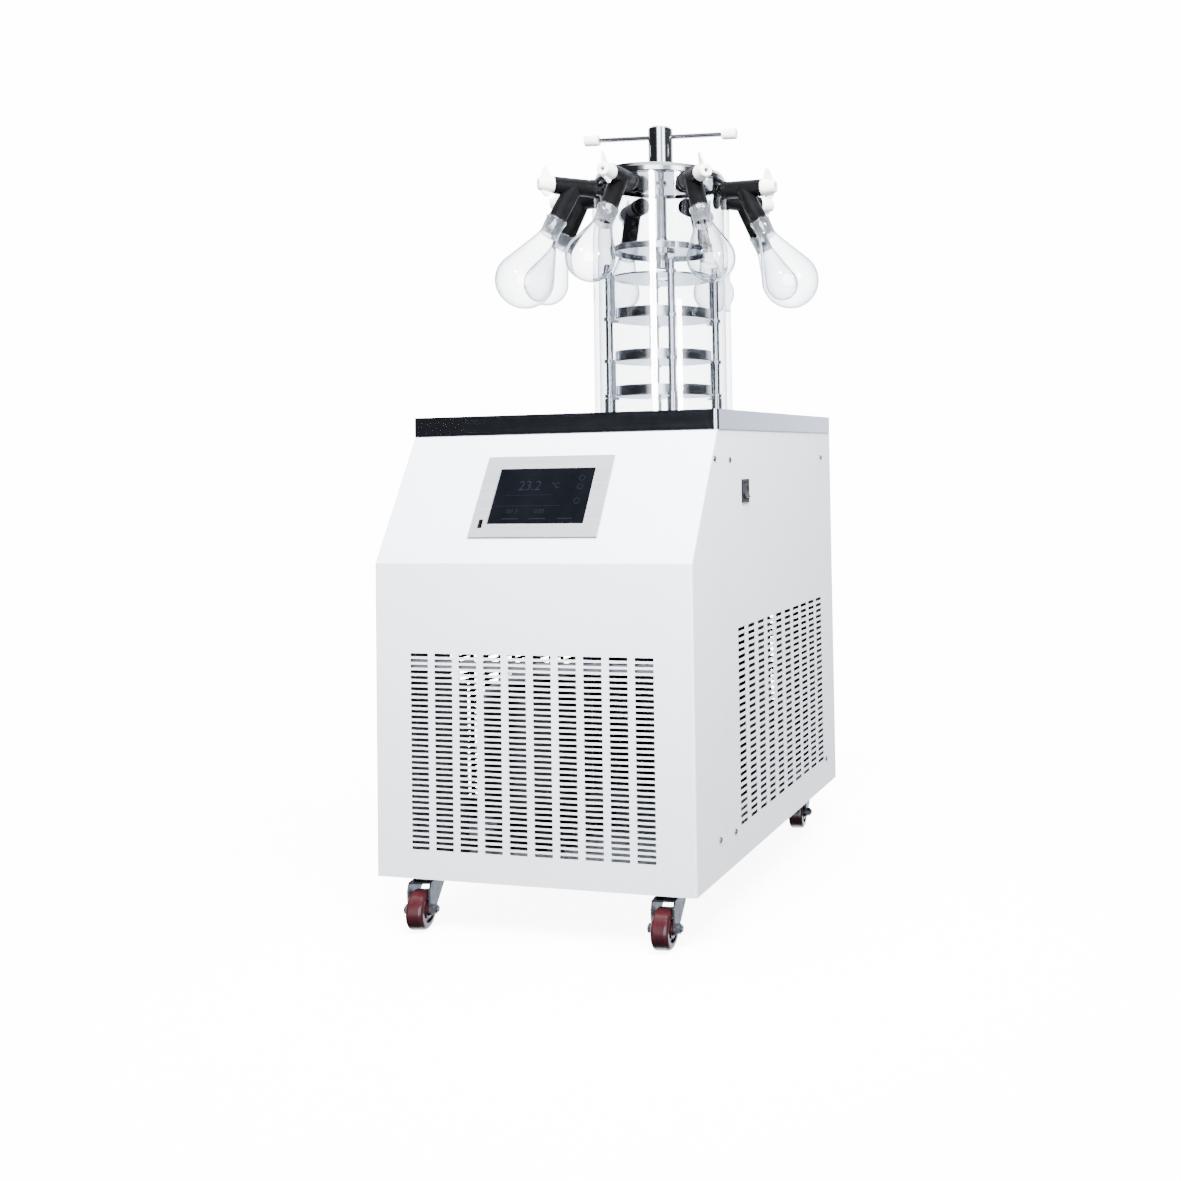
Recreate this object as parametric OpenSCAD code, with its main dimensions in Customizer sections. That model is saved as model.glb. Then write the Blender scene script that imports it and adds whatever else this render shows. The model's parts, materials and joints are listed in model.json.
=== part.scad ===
// Floor-standing laboratory freeze dryer with a clear drum manifold, a stoppering rack and flask valves.
// Origin: on the floor, under the middle of the cabinet. +Z is up and the front faces -Y.

/* [Cabinet] */
// Width of the cabinet
cab_w = 480; // [440:1:560]
// Depth of the cabinet
cab_d = 600; // [560:1:700]
// Height of the cabinet body, from the base to the underside of the deck
body_h = 612; // [560:1:700]
// Height of the sloping front, from the fold up to the deck
slope_rise = 178; // [152:1:192]
// How far back the sloping front reaches at the deck
slope_run = 91; // [80:1:110]
// Depth of the front cover's side returns, to the seam
return_d = 103; // [95:1:125]
// Thickness of the painted sheet steel
sheet_t = 1.2; // [1:0.1:2]
// Thickness of the folded stainless deck
deck_h = 28; // [20:1:36]
// Radius of the bent vertical corners of the front cover
bend_r = 3; // [2:0.5:6]
// Gap at the seam between the front cover and a side panel
seam_gap = 2; // [1:0.5:4]

/* [Grilles] */
// Slots across each grille
grille_cols = 10; // [6:1:10]
// Rows of slots in the front grille
front_rows = 35; // [20:1:36]
// Rows of slots in a side grille
side_rows = 29; // [20:1:30]
// Length of a slot
slot_l = 27.5; // [20:0.5:30]
// Height of a slot in the front grille
front_slot_h = 4.4; // [3:0.1:5]
// Height of a slot in a side grille
side_slot_h = 5; // [3:0.1:6]

/* [Display and switch] */
// Width of the display's metal surround
bezel_w = 197; // [180:1:220]
// Height of the display's metal surround, along the slope
bezel_l = 124; // [110:1:140]
// Width of the touch screen's glass
screen_w = 147.5; // [130:0.5:165]
// Height of the touch screen's glass
screen_l = 84; // [70:0.5:95]
// Sideways place of the display
screen_x = -4; // [-20:1:20]
// Angle that the rocker turns through between off and on
rocker_angle = 18; // [10:1:24]

/* [Casters] */
// Room in a caster above its wheel, up to the base
caster_rise = 20; // [16:1:36]
// Diameter of a caster wheel
wheel_d = 54; // [46:1:56]
// Width of a caster wheel
wheel_w = 24; // [18:1:26]
// Distance from the swivel axis back to the wheel's axle
caster_trail = 22; // [16:1:26]
// Distance of the swivel axes from the cabinet's outer faces, sideways
caster_inset = 55; // [50:1:90]

/* [Drying chamber] */
// Distance of the chamber's axis behind the middle of the cabinet
chamber_y = 132; // [110:1:140]
// Outer diameter of the clear tube
tube_d = 230; // [224:1:250]
// Wall of the clear tube
tube_wall = 10; // [8:0.5:12]
// Length of the clear tube
tube_h = 398; // [380:1:440]
// Distance of the lid's edge inside the tube's outer face
lid_inset = 6; // [0:0.5:8]
// Thickness of the lid
lid_t = 13; // [10:1:16]
// Inner diameter of the cold trap, also its mouth in the deck
trap_d = 150; // [130:1:156]
// Depth of the cold trap
trap_h = 165; // [130:1:180]

/* [Stoppering press] */
// Diameter of the turning hub on the lid
hub_d = 41; // [36:1:50]
// Height of the turning hub
hub_h = 83; // [70:1:95]
// Length of the cross bar with its caps
bar_l = 268; // [220:1:300]
// Diameter of the cross bar
bar_d = 8; // [7:0.5:10]
// Direction of the cross bar, counted from the cabinet's width
bar_turn = 7.5; // [0:0.5:90]
// Diameter of the press screw
screw_d = 17.6; // [14:0.2:20]
// Travel of the press plate
press_travel = 38; // [20:1:38]
// Diameter of the press plate
press_d = 163; // [140:1:164]

/* [Shelf rack] */
// Diameter of a shelf
shelf_d = 168; // [160:1:170]
// Spacing of the upper shelves
shelf_gap = 71; // [66:0.5:72]
// Spacing of the lowest two shelves
low_gap = 58.5; // [56:0.5:66]
// Height of the lowest shelf above the deck
rack_foot_h = 38; // [34:1:42]
// Height of a tray's rim
tray_h = 16; // [10:1:18]
// Radius of the circle that the guide rods stand on
rod_r = 90; // [89:0.5:91]
// Diameter of a guide rod
rod_d = 12; // [8:0.5:12]
// Direction of the front guide rod, turned from straight ahead
rack_turn = 34; // [0:1:90]

/* [Valves and flasks] */
// Number of valves around the tube
valve_count = 8; // [4:1:8]
// Height of the valves above the deck
valve_h = 384; // [370:1:386]
// Diameter of a valve's rubber body
valve_d = 28.6; // [24:0.2:29]
// Length of a valve's body, outside the tube
valve_l = 68; // [60:1:76]
// Lean of a valve's branch out from straight down
branch_angle = 27; // [20:1:35]
// Distance along the branch from the valve's axis to a flask's mouth
branch_l = 62; // [54:1:70]
// Bulb diameters of the flasks, in turn from the front
bulb_sizes = [76, 76, 95, 64, 76, 64, 76, 92]; // [56:1:110]
// Distances from the flasks' mouths to the middles of their bulbs, in turn from the front
bulb_drops = [96, 96, 116, 96, 96, 96, 96, 117]; // [90:1:125]
// Sideways tilt of each valve's branch, in turn from the front
branch_tilts = [6, 0, 0, 0, 0, 0, 0, 0]; // [-8:1:8]

/* [Hidden] */
$fn = 72;

// Small shared sizes
eps = 0.01;
seat = 0.3;
cut = 1;
run = 0.05;

// Cabinet planes
half_w = cab_w / 2;
front_y = -cab_d / 2;
rear_y = cab_d / 2;
seam_y = front_y + return_d;
base_z = wheel_d + caster_rise;
body_top = base_z + body_h;
fold_z = body_top - slope_rise;
deck_top = body_top + deck_h;
slope_angle = atan2(slope_rise, slope_run);
slope_l = sqrt(pow(slope_rise, 2) + pow(slope_run, 2));
inner_w = half_w - sheet_t;

// Frame members
frame_t = 2;
tray_wall = 22;
post_w = 78;
post_in = 20;
rear_post_w = 62;
short_post = 26;
rail_h = 20;
mid_rail_z = base_z + 288;
mid_rail_h = 11;

// Grille layout
front_pitch_x = slot_l + 10.2;
front_pitch_z = front_slot_h + 3.4;
front_grille_z = base_z + 175;
side_pitch_y = slot_l + 11.5;
side_pitch_z = side_slot_h + 4.8;
side_grille_y = 44;
side_grille_z = base_z + 188;

// Panel screws
screw_shank = 4;
screw_hole = 4.4;
screw_head = 8;
screw_head_h = 2.4;
screw_l = 9;
post_hole = 4.1;
return_screws = [[front_y + 80, base_z + 51], [front_y + 80, body_top - 41]];
side_screws = [
  [front_y + 134, base_z + 46], [front_y + 134, body_top - 43],
  [rear_y - 54, base_z + 46], [rear_y - 54, body_top - 43]
];
rear_screw_x = half_w - 30;
rear_screw_z = [base_z + 30, base_z + body_h / 2, body_top - 22];

// Display
bezel_t = 3;
bezel_rim = 0.5;
screen_glass_t = 2;
screen_box = [screen_w - 8, screen_l - 8, 30];
usb_x = screen_x - 84;
usb_y = -42;
usb_size = [6.4, 13];

// Switch
switch_y = front_y + 190;
switch_z = body_top - 89;
switch_face = [25, 34];
switch_body = [21.6, 28];
switch_depth = 24;
switch_flange = 2.2;
rocker_w = 16;
rocker_l = 24;

// Casters: places in turn are front left, front right, rear right, rear left
caster_y_in = 36;
caster_xy = [
  [-half_w + caster_inset, front_y + caster_y_in], [half_w - caster_inset, front_y + caster_y_in],
  [half_w - caster_inset, rear_y - caster_y_in], [-half_w + caster_inset, rear_y - caster_y_in]
];
caster_turns = [12, 6, 8, 10];
caster_plate_t = 3;
race_h = 6;
fork_t = 2.5;
fork_gap = wheel_w + 4;
fork_top = base_z - caster_plate_t - race_h;
king_r = 5;
axle_r = 4;

// Chamber heights
ring_t = 3;
tube_r = tube_d / 2;
bore_r = tube_r - tube_wall;
lid_r = tube_r - lid_inset;
tube_z = deck_top + ring_t;
lid_z = tube_z + tube_h + ring_t;
lid_top = lid_z + lid_t;
trap_r = trap_d / 2;
trap_wall = 1.5;

// Rack
shelf_t = 2;
top_shelf_t = 3;
bush_r = 9;
bush_h = 6;
shelf_z4 = deck_top + rack_foot_h;
shelf_z3 = shelf_z4 + low_gap;
shelf_z2 = shelf_z3 + shelf_gap;
shelf_z1 = shelf_z2 + shelf_gap;
rod_top = shelf_z1 + 22;
tray_r = rod_r - bush_r - seat;
tray_t = 1;
link_in = tray_r + 0.6;
link_w = 6;
link_t = 2;
link_aside = 9.5;
hook_h = 6;

// Press
bar_z = lid_top + hub_h - 16;
cap_l = 25;
cap_r = 9;
shaft_r = 6;
neck_r = 5;
thread_top = lid_z - 21;
press_t = 11;
press_rest = 2;
plate_top = shelf_z1 + top_shelf_t + press_rest + press_travel + press_t;
nut_top = plate_top + 17.5;
nut_l = 52;
nut_r = 10;
nut_way_r = nut_r + 6;
thread_end = nut_top - nut_l + 6;
thread_pitch = 2;

// Valves
valve_z = deck_top + valve_h;
valve_r = valve_d / 2;
port_r = 10.3;
neck_valve_r = 10;
flow_r = 5;
plug_r = 9;
valve_end = tube_r + valve_l;
branch_x = tube_r + 35;
plug_start = branch_x - 12;
knob_r = 13.5;
knob_l = 25;
fin_t = 3;
fin_up = 31;
fin_down = 21;
fin_turn = 12;
vent_r = 3.6;
cone_l = 22;

// Flask glass
glass_t = 2;
joint_l = 32;
joint_r = 16.4;
joint_in = joint_r - 1.8;
joint_taper = 1.6;

// ---- Shared shapes ----

// Rectangle with round corners, centred; 12 sides give a folded sheet's corner in three flats
module round_rect(w, d, r, sides = $fn) {
  square([w - 2 * r, d], center = true);
  square([w, d - 2 * r], center = true);
  for (x = [-1, 1])
    for (y = [-1, 1])
      translate([x * (w / 2 - r), y * (d / 2 - r)])
        circle(r, $fn = sides);
}

// Flat ring standing on z = 0
module ring(outer_r, inner_r, h) {
  difference() {
    cylinder(r = outer_r, h = h);
    translate([0, 0, -cut])
      cylinder(r = inner_r, h = h + 2 * cut);
  }
}

// Grid of slots as a flat drawing
module slot_grid(cols, rows, pitch_u, pitch_v, l, h) {
  for (i = [0:cols - 1])
    for (j = [0:rows - 1])
      translate([(i - (cols - 1) / 2) * pitch_u, (j - (rows - 1) / 2) * pitch_v])
        square([l, h], center = true);
}

// Frame of the sloping front: X across, Y up the slope, Z out of it
module on_slope() {
  translate([0, front_y, fold_z])
    rotate([slope_angle, 0, 0])
      children();
}

// Moves to the axis of the chamber
module at_chamber() {
  translate([0, chamber_y, 0])
    children();
}

// Turns a drawing of the right side's outer face out to its plane: X goes back, Y goes up
module on_side(side) {
  translate([side * half_w, 0, 0])
    rotate([90, 0, 90])
      children();
}

// ---- Cabinet ----

// Length of sheet between the mitre and the seam falls by this much for each unit back
mitre_fall = tan((90 - slope_angle) / 2);

// Solid block of the front cover, shrunk by inset: an upright prism and a leaning one, mitred at the fold
module cover_block(inset, back, low) {
  x = half_w - inset;
  y = front_y + inset;
  knee = fold_z + inset * mitre_fall;
  knee_back = knee - (back - y) * mitre_fall;
  top = body_top - inset;
  y_top = y + (top - knee) / tan(slope_angle);
  intersection() {
    side_profile(x, [[y, low], [y, knee], [back, knee_back], [back, low]]);
    translate([0, y + cab_d / 2, low - cut])
      linear_extrude(body_h + base_z)
        round_rect(2 * x, cab_d, bend_r - inset, 12);
  }
  intersection() {
    side_profile(x, [[y, knee], [y_top, top], [back, top], [back, knee_back]]);
    translate([0, y, knee])
      rotate([slope_angle - 90, 0, 0])
        translate([0, cab_d / 2, -cab_d])
          linear_extrude(2 * cab_d)
            round_rect(2 * x, cab_d, bend_r - inset, 12);
  }
}

// Outline in Y and Z, drawn out to x on both sides
module side_profile(x, outline) {
  rotate([90, 0, 90])
    translate([0, 0, -x])
      linear_extrude(2 * x)
        polygon(outline);
}

// Folded front cover with the grille, the display cut-outs and the side returns
module front_cover() {
  color("white")
    difference() {
      cover_block(0, seam_y, base_z);
      cover_block(sheet_t, seam_y + cut, base_z - cut);
      translate([0, front_y + 2 * sheet_t, front_grille_z])
        rotate([90, 0, 0])
          linear_extrude(3 * sheet_t)
            slot_grid(grille_cols, front_rows, front_pitch_x, front_pitch_z, slot_l, front_slot_h);
      on_slope()
        translate([screen_x, slope_l / 2, -2 * sheet_t])
          linear_extrude(4 * sheet_t)
            square([screen_box[0] + 1, screen_box[1] + 1], center = true);
      on_slope()
        translate([usb_x, slope_l / 2 + usb_y, -2 * sheet_t])
          linear_extrude(4 * sheet_t)
            square([usb_size[0] + 1, usb_size[1] + 1], center = true);
      for (p = return_screws)
        translate([-cab_w, p[0], p[1]])
          rotate([0, 90, 0])
            cylinder(d = screw_hole, h = 2 * cab_w, $fn = 24);
    }
}

// Side panel on one side, with its grille; the right one also has the switch cut-out
module side_panel(side) {
  y0 = seam_y + seam_gap;
  color("white") {
    on_side(side)
      translate([0, 0, side > 0 ? -sheet_t : 0])
        linear_extrude(sheet_t)
          difference() {
            translate([y0, base_z])
              square([rear_y - y0, body_h]);
            translate([side_grille_y, side_grille_z])
              slot_grid(grille_cols, side_rows, side_pitch_y, side_pitch_z, slot_l, side_slot_h);
            for (p = side_screws)
              translate(p)
                circle(d = screw_hole, $fn = 24);
            if (side > 0)
              translate([switch_y, switch_z])
                square([switch_body[0] + 0.6, switch_body[1] + 0.6], center = true);
          }
    translate([side > 0 ? half_w - sheet_t - 12 : -half_w + sheet_t, rear_y - sheet_t, base_z])
      cube([12, sheet_t, body_h]);
  }
}

module side_panel_left() {
  side_panel(-1);
}

module side_panel_right() {
  side_panel(1);
}

// Places on the rear panel, as X and Z
inlet_at = [-130, base_z + 90];
port_at = [110, body_top - 92];
drain_at = [-110, body_top - 192];
exhaust_at = [0, base_z + 215];

// Rear panel with the exhaust grille and the openings for the fittings
module rear_panel() {
  w = 2 * (half_w - sheet_t - 12 - seat);
  color("white")
    translate([0, rear_y, 0])
      rotate([90, 0, 0])
        linear_extrude(sheet_t)
          difference() {
            translate([-w / 2, base_z])
              square([w, body_h]);
            translate([0, exhaust_at[1]])
              slot_grid(7, 19, front_pitch_x, side_pitch_z, slot_l, side_slot_h);
            translate(inlet_at)
              square([28.6, 20.6], center = true);
            translate(port_at)
              circle(r = 14.6);
            translate(drain_at)
              circle(r = 7.3);
            for (x = [-1, 1])
              for (z = rear_screw_z)
                translate([x * rear_screw_x, z])
                  circle(d = screw_hole, $fn = 24);
          }
}

// Front of the room behind the sloping front, at a height, clear of its bent corners
function slope_in(z) = front_y + (z - fold_z) / tan(slope_angle) + bend_r / sin(slope_angle) + seat;

// Welded frame: base tray, posts and rails
module chassis() {
  post_y = seam_y - post_w / 2;
  post_top = body_top - sheet_t;
  post_knee = fold_z + (post_y - slope_in(fold_z)) * tan(slope_angle);
  w = 2 * inner_w;
  d = cab_d - 2 * sheet_t;
  color("gainsboro")
    difference() {
      union() {
        // Base tray
        difference() {
          translate([-inner_w, front_y + sheet_t, base_z])
            cube([w, d, tray_wall]);
          translate([-inner_w + frame_t, front_y + sheet_t + frame_t, base_z + frame_t])
            cube([w - 2 * frame_t, d - 2 * frame_t, tray_wall]);
          // Bent corners of the base tray follow the cover's corners
          for (x = [-1, 1])
            translate([x * inner_w, front_y + sheet_t, base_z + tray_wall / 2])
              cube([2 * bend_r, 2 * bend_r, tray_wall + 2 * cut], center = true);
        }
        for (s = [-1, 1]) {
          mirror([s < 0 ? 1 : 0, 0, 0]) {
            // Short front post and its rail seat
            translate([inner_w - frame_t, front_y + sheet_t + bend_r, base_z])
              cube([frame_t, short_post, mid_rail_z + mid_rail_h - base_z]);
            // Wide post behind the seam, cut back along the sloping front
            translate([inner_w - frame_t, 0, 0])
              rotate([90, 0, 90])
                linear_extrude(frame_t)
                  polygon([
                    [post_y, base_z], [post_y, post_knee], [slope_in(post_top), post_top],
                    [post_y + post_w, post_top], [post_y + post_w, base_z]
                  ]);
            translate([inner_w - post_in, post_y, base_z])
              cube([post_in, frame_t, post_knee - base_z - post_in]);
            translate([inner_w - post_in, post_y + post_w - frame_t, base_z])
              cube([post_in, frame_t, post_top - rail_h - base_z]);
            // Rear post
            translate([inner_w - frame_t, rear_y - sheet_t - rear_post_w, base_z])
              cube([frame_t, rear_post_w, body_h]);
            translate([inner_w - 2 * post_in, rear_y - sheet_t - frame_t, base_z])
              cube([2 * post_in, frame_t, body_h]);
            // Top side rail
            translate([inner_w - frame_t, seam_y, body_top - rail_h])
              cube([frame_t, rear_y - sheet_t - seam_y, rail_h - sheet_t]);
          }
        }
        // Rail behind the upper rows of the front grille
        translate([-inner_w, front_y + sheet_t + bend_r + 4, mid_rail_z])
          cube([w, frame_t, mid_rail_h]);
        // Top cross rails, in front of the chamber and at the rear
        translate([-inner_w, seam_y - frame_t, body_top - rail_h])
          cube([w, frame_t, rail_h - sheet_t]);
        translate([-inner_w, rear_y - sheet_t - frame_t, body_top - rail_h])
          cube([w, frame_t, rail_h]);
        // Cross member that carries the control box
        translate([-inner_w, seam_y + 12, body_top - 142])
          cube([w, frame_t, rail_h]);
      }
      for (p = concat(return_screws, side_screws))
        translate([-cab_w, p[0], p[1]])
          rotate([0, 90, 0])
            cylinder(d = post_hole, h = 2 * cab_w, $fn = 24);
      for (x = [-1, 1])
        for (z = rear_screw_z)
          translate([x * rear_screw_x, rear_y, z])
            rotate([90, 0, 0])
              cylinder(d = post_hole, h = 20, $fn = 24);
    }
}

// Pan-head screw with its head on z = 0 and its shank below
module pan_screw() {
  translate([0, 0, -screw_l])
    cylinder(d = screw_shank, h = screw_l + eps, $fn = 24);
  difference() {
    rotate_extrude($fn = 36)
      polygon([
        [0, 0], [screw_head / 2, 0], [screw_head / 2, 0.7], [screw_head / 2 - 0.8, 1.8],
        [screw_head / 2 - 2, screw_head_h], [0, screw_head_h]
      ]);
    for (a = [0, 90])
      rotate(a)
        translate([0, 0, screw_head_h])
          cube([4, 0.9, 2.2], center = true);
  }
}

// All panel screws of the cabinet
module panel_screws() {
  color("silver") {
    for (p = concat(return_screws, side_screws)) {
      translate([half_w, p[0], p[1]])
        rotate([0, 90, 0])
          pan_screw();
      translate([-half_w, p[0], p[1]])
        rotate([0, -90, 0])
          pan_screw();
    }
    for (x = [-1, 1])
      for (z = rear_screw_z)
        translate([x * rear_screw_x, rear_y, z])
          rotate([-90, 0, 0])
            pan_screw();
  }
}

// Folded stainless deck: a shallow pan with returned lower edges and the mouth of the cold trap
module top_plate() {
  over = 1.5;
  skin = 1.5;
  lip = 18;
  w = cab_w + 2 * over;
  y0 = front_y + slope_run - over;
  d = rear_y + over - y0;
  color("lightsteelblue")
    difference() {
      translate([0, y0 + d / 2, body_top])
        linear_extrude(deck_h)
          round_rect(w, d, 6);
      translate([0, y0 + d / 2, body_top + skin])
        linear_extrude(deck_h - 2 * skin)
          round_rect(w - 2 * skin, d - 2 * skin, 6 - skin);
      translate([0, y0 + d / 2, body_top - cut])
        linear_extrude(deck_h / 2)
          square([w - 2 * lip, d - 2 * lip], center = true);
      at_chamber()
        translate([0, 0, body_top])
          cylinder(r = trap_r, h = deck_h + cut);
    }
}

// ---- Display and switch ----

// Brushed surround of the touch screen
module screen_bezel() {
  color("silver")
    on_slope()
      translate([0, slope_l / 2, 0])
        difference() {
          translate([screen_x, 0, 0])
            linear_extrude(bezel_t)
              square([bezel_w, bezel_l], center = true);
          translate([screen_x, 0, -cut])
            linear_extrude(bezel_t + 2 * cut)
              square([screen_w + 2 * bezel_rim, screen_l + 2 * bezel_rim], center = true);
          translate([usb_x, usb_y, -cut])
            linear_extrude(bezel_t + 2 * cut)
              square([usb_size[0] + bezel_rim, usb_size[1] + bezel_rim], center = true);
        }
}

// Touch screen: the glass sits in the surround and the box goes through the cover
module touch_screen() {
  color("black")
    on_slope()
      translate([screen_x, slope_l / 2, 0]) {
        translate([-screen_w / 2, -screen_l / 2, 0])
          cube([screen_w, screen_l, screen_glass_t]);
        translate([-screen_box[0] / 2, -screen_box[1] / 2, -screen_box[2]])
          cube([screen_box[0], screen_box[1], screen_box[2] + eps]);
      }
}

// Data socket in the corner of the surround
module usb_socket() {
  color("dimgray")
    on_slope()
      translate([usb_x, slope_l / 2 + usb_y, 0])
        difference() {
          translate([-usb_size[0] / 2, -usb_size[1] / 2, -16])
            cube([usb_size[0], usb_size[1], 16 + bezel_t - 0.6]);
          translate([-1.2, -usb_size[1] / 2 + 1.2, -8])
            cube([3.4, usb_size[1] - 2.4, 16]);
        }
}

// Mains switch: its frame and the box behind the side panel; X is out of the panel here
module switch_housing() {
  color("black")
    translate([half_w, switch_y, switch_z])
      difference() {
        union() {
          translate([0, -switch_face[0] / 2, -switch_face[1] / 2])
            cube([switch_flange, switch_face[0], switch_face[1]]);
          translate([-switch_depth, -switch_body[0] / 2, -switch_body[1] / 2])
            cube([switch_depth + eps, switch_body[0], switch_body[1]]);
        }
        translate([-12, -rocker_w / 2 - 0.4, -rocker_l / 2 - 0.8])
          cube([20, rocker_w + 0.8, rocker_l + 1.6]);
      }
}

// Rocker, tilted to the off side, on its own short pivots
module switch_rocker() {
  color("black")
    translate([half_w - 1, switch_y, switch_z])
      rotate([90, 0, 0])
        translate([0, 0, -rocker_w / 2])
          linear_extrude(rocker_w)
            rotate(rocker_angle / 2)
              difference() {
                intersection() {
                  circle(r = rocker_l / 2);
                  translate([-5.5, -rocker_l / 2])
                    square([11, rocker_l]);
                }
                translate([25.5, 0])
                  circle(r = 22.6);
              }
}

// ---- Rear fittings ----

// Mains socket with its three pins
module mains_inlet() {
  color("black")
    translate([inlet_at[0], rear_y, inlet_at[1]])
      rotate([-90, 0, 0]) {
        difference() {
          union() {
            translate([-24, -13, 0])
              cube([48, 26, 3]);
            translate([-14, -10, -22])
              cube([28, 20, 22 + eps]);
          }
          translate([-12, -8.5, -16])
            cube([24, 17, 20]);
        }
        for (p = [[-7, -2], [0, 2], [7, -2]])
          translate([p[0] - 1, p[1] - 2, -16 - eps])
            cube([2, 4, 12]);
      }
}

// Flanged vacuum port, with its pipe in to the cold trap's level
module vacuum_port() {
  color("silver")
    translate([port_at[0], rear_y, port_at[1]])
      rotate([-90, 0, 0])
        difference() {
          union() {
            translate([0, 0, -70])
              cylinder(r = 14.2, h = 104);
            translate([0, 0, 0])
              cylinder(r = 22, h = 3);
            translate([0, 0, 31])
              cylinder(r = 20, h = 3);
            translate([0, 0, 28])
              cylinder(r1 = 14.2, r2 = 20, h = 3);
          }
          translate([0, 0, -70 - cut])
            cylinder(r = 12.5, h = 104 + 2 * cut);
        }
}

// Drain valve: body, hose tail and the spindle bore on top
module drain_valve() {
  color("goldenrod")
    translate([drain_at[0], rear_y, drain_at[1]])
      difference() {
        union() {
          rotate([-90, 0, 0])
            translate([0, 0, -60])
              cylinder(r = 7, h = 86);
          rotate([-90, 0, 0])
            cylinder(r = 12, h = 4, $fn = 6);
          translate([0, 32, 0])
            sphere(r = 13);
          rotate([-90, 0, 0])
            translate([0, 0, 40])
              cylinder(r = 6, h = 26);
          for (y = [48, 54, 60])
            rotate([-90, 0, 0])
              translate([0, 0, y])
                cylinder(r1 = 7.5, r2 = 6, h = 4);
          translate([0, 32, 0])
            cylinder(r = 6, h = 17);
        }
        rotate([-90, 0, 0])
          translate([0, 0, -61])
            cylinder(r = 4, h = 128);
        translate([0, 32, 9])
          cylinder(r = 3, h = 20);
      }
}

// Drain lever on its spindle, across the flow when shut
module drain_lever() {
  color("firebrick")
    translate([drain_at[0], rear_y + 32, drain_at[1]]) {
      translate([0, 0, 10])
        cylinder(r = 3 - run, h = 10);
      translate([-6, -5.5, 17 + seat])
        cube([50, 11, 3]);
      translate([0, 0, 17 + seat])
        cylinder(r = 8, h = 3);
    }
}

// ---- Inside the cabinet ----

comp_at = [-118, -88];
comp_r = 84;
comp_low = 74;

// Hermetic compressor pot on its base plate and four rubber mounts
module compressor() {
  z0 = base_z + frame_t;
  color("black")
    translate([comp_at[0], comp_at[1], z0]) {
      for (x = [-1, 1])
        for (y = [-1, 1])
          translate([x * 78, y * 78, 0])
            cylinder(r = 12, h = 16 + eps);
      translate([-95, -95, 16])
        cube([190, 190, 4]);
      translate([0, 0, 20 - eps])
        rotate_extrude()
          polygon([
            [0, 0], [56, 0], [76, 22], [comp_r, 48], [comp_r, comp_low + 40], [comp_r + 5, comp_low + 40],
            [comp_r + 5, comp_low + 48], [comp_r, comp_low + 48], [comp_r, 176], [74, 204], [48, 220], [0, 224]
          ]);
    }
}

coil_w = 300;
coil_h = 300;
coil_t = 44;
coil_y = 168;

// Condenser: finned block between two end plates, standing on the base
module condenser() {
  z0 = base_z + frame_t;
  fin_pitch = 10;
  color("dimgray")
    translate([0, coil_y, z0]) {
      for (s = [-1, 1])
        translate([s * (coil_w / 2) - 1, -coil_t / 2, 0])
          cube([2, coil_t, coil_h]);
      for (z = [12:12:coil_h - 10])
        for (y = [-11, 11])
          translate([-coil_w / 2 - 4, y, z])
            rotate([0, 90, 0])
              cylinder(r = 4, h = coil_w + 8, $fn = 16);
      for (x = [-coil_w / 2 + fin_pitch:fin_pitch:coil_w / 2 - fin_pitch])
        translate([x - 0.4, -coil_t / 2 + 1, 4])
          cube([0.8, coil_t - 2, coil_h - 8]);
    }
}

fan_y = coil_y + coil_t / 2;
fan_z = base_z + frame_t + coil_h / 2;

// Fan shroud with the motor on its arms
module fan_motor() {
  color("darkslategray")
    translate([0, fan_y, 0]) {
      difference() {
        translate([-coil_w / 2, 0, base_z + frame_t])
          cube([coil_w, 34, coil_h]);
        translate([0, -cut, fan_z])
          rotate([-90, 0, 0])
            cylinder(r = 128, h = 60);
        translate([-coil_w / 2 + 2, -cut, base_z + frame_t + 2])
          cube([coil_w - 4, 30, coil_h - 4]);
      }
      for (a = [45, 135])
        translate([0, 32, fan_z])
          rotate([0, a, 0])
            translate([-134, 0, -4])
              cube([268, 4, 8]);
      translate([0, 32, fan_z])
        rotate([-90, 0, 0])
          cylinder(r = 36, h = 42);
      translate([0, 12, fan_z])
        rotate([-90, 0, 0])
          cylinder(r = 4, h = 24);
    }
}

// Five-bladed fan on the motor shaft
module fan_rotor() {
  color("black")
    translate([0, fan_y + 12, fan_z])
      rotate([-90, 0, 0])
        difference() {
          union() {
            cylinder(r = 32, h = 18);
            for (a = [0:72:288])
              rotate(a)
                translate([28, 0, 9])
                  rotate([24, 0, 0])
                    translate([0, -22, -1])
                      cube([92, 44, 2]);
          }
          translate([0, 0, -cut])
            cylinder(r = 4 + run, h = 30);
        }
}

// Cold trap: stainless pot hung under the deck, with its drain spout
module cold_trap() {
  color("silver")
    at_chamber()
      translate([0, 0, deck_top - 1.5]) {
        rotate_extrude()
          difference() {
            union() {
              translate([0, -trap_h])
                square([trap_r + trap_wall, trap_h]);
              translate([0, -trap_wall])
                square([trap_r + 16, trap_wall]);
              translate([0, -trap_h - 24])
                square([8, 24 + trap_wall]);
            }
            translate([0, -trap_h + trap_wall])
              square([trap_r, trap_h + cut]);
            translate([0, -trap_h - 25])
              square([6, 40]);
          }
      }
}

foam_r = trap_r + 34;

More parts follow.
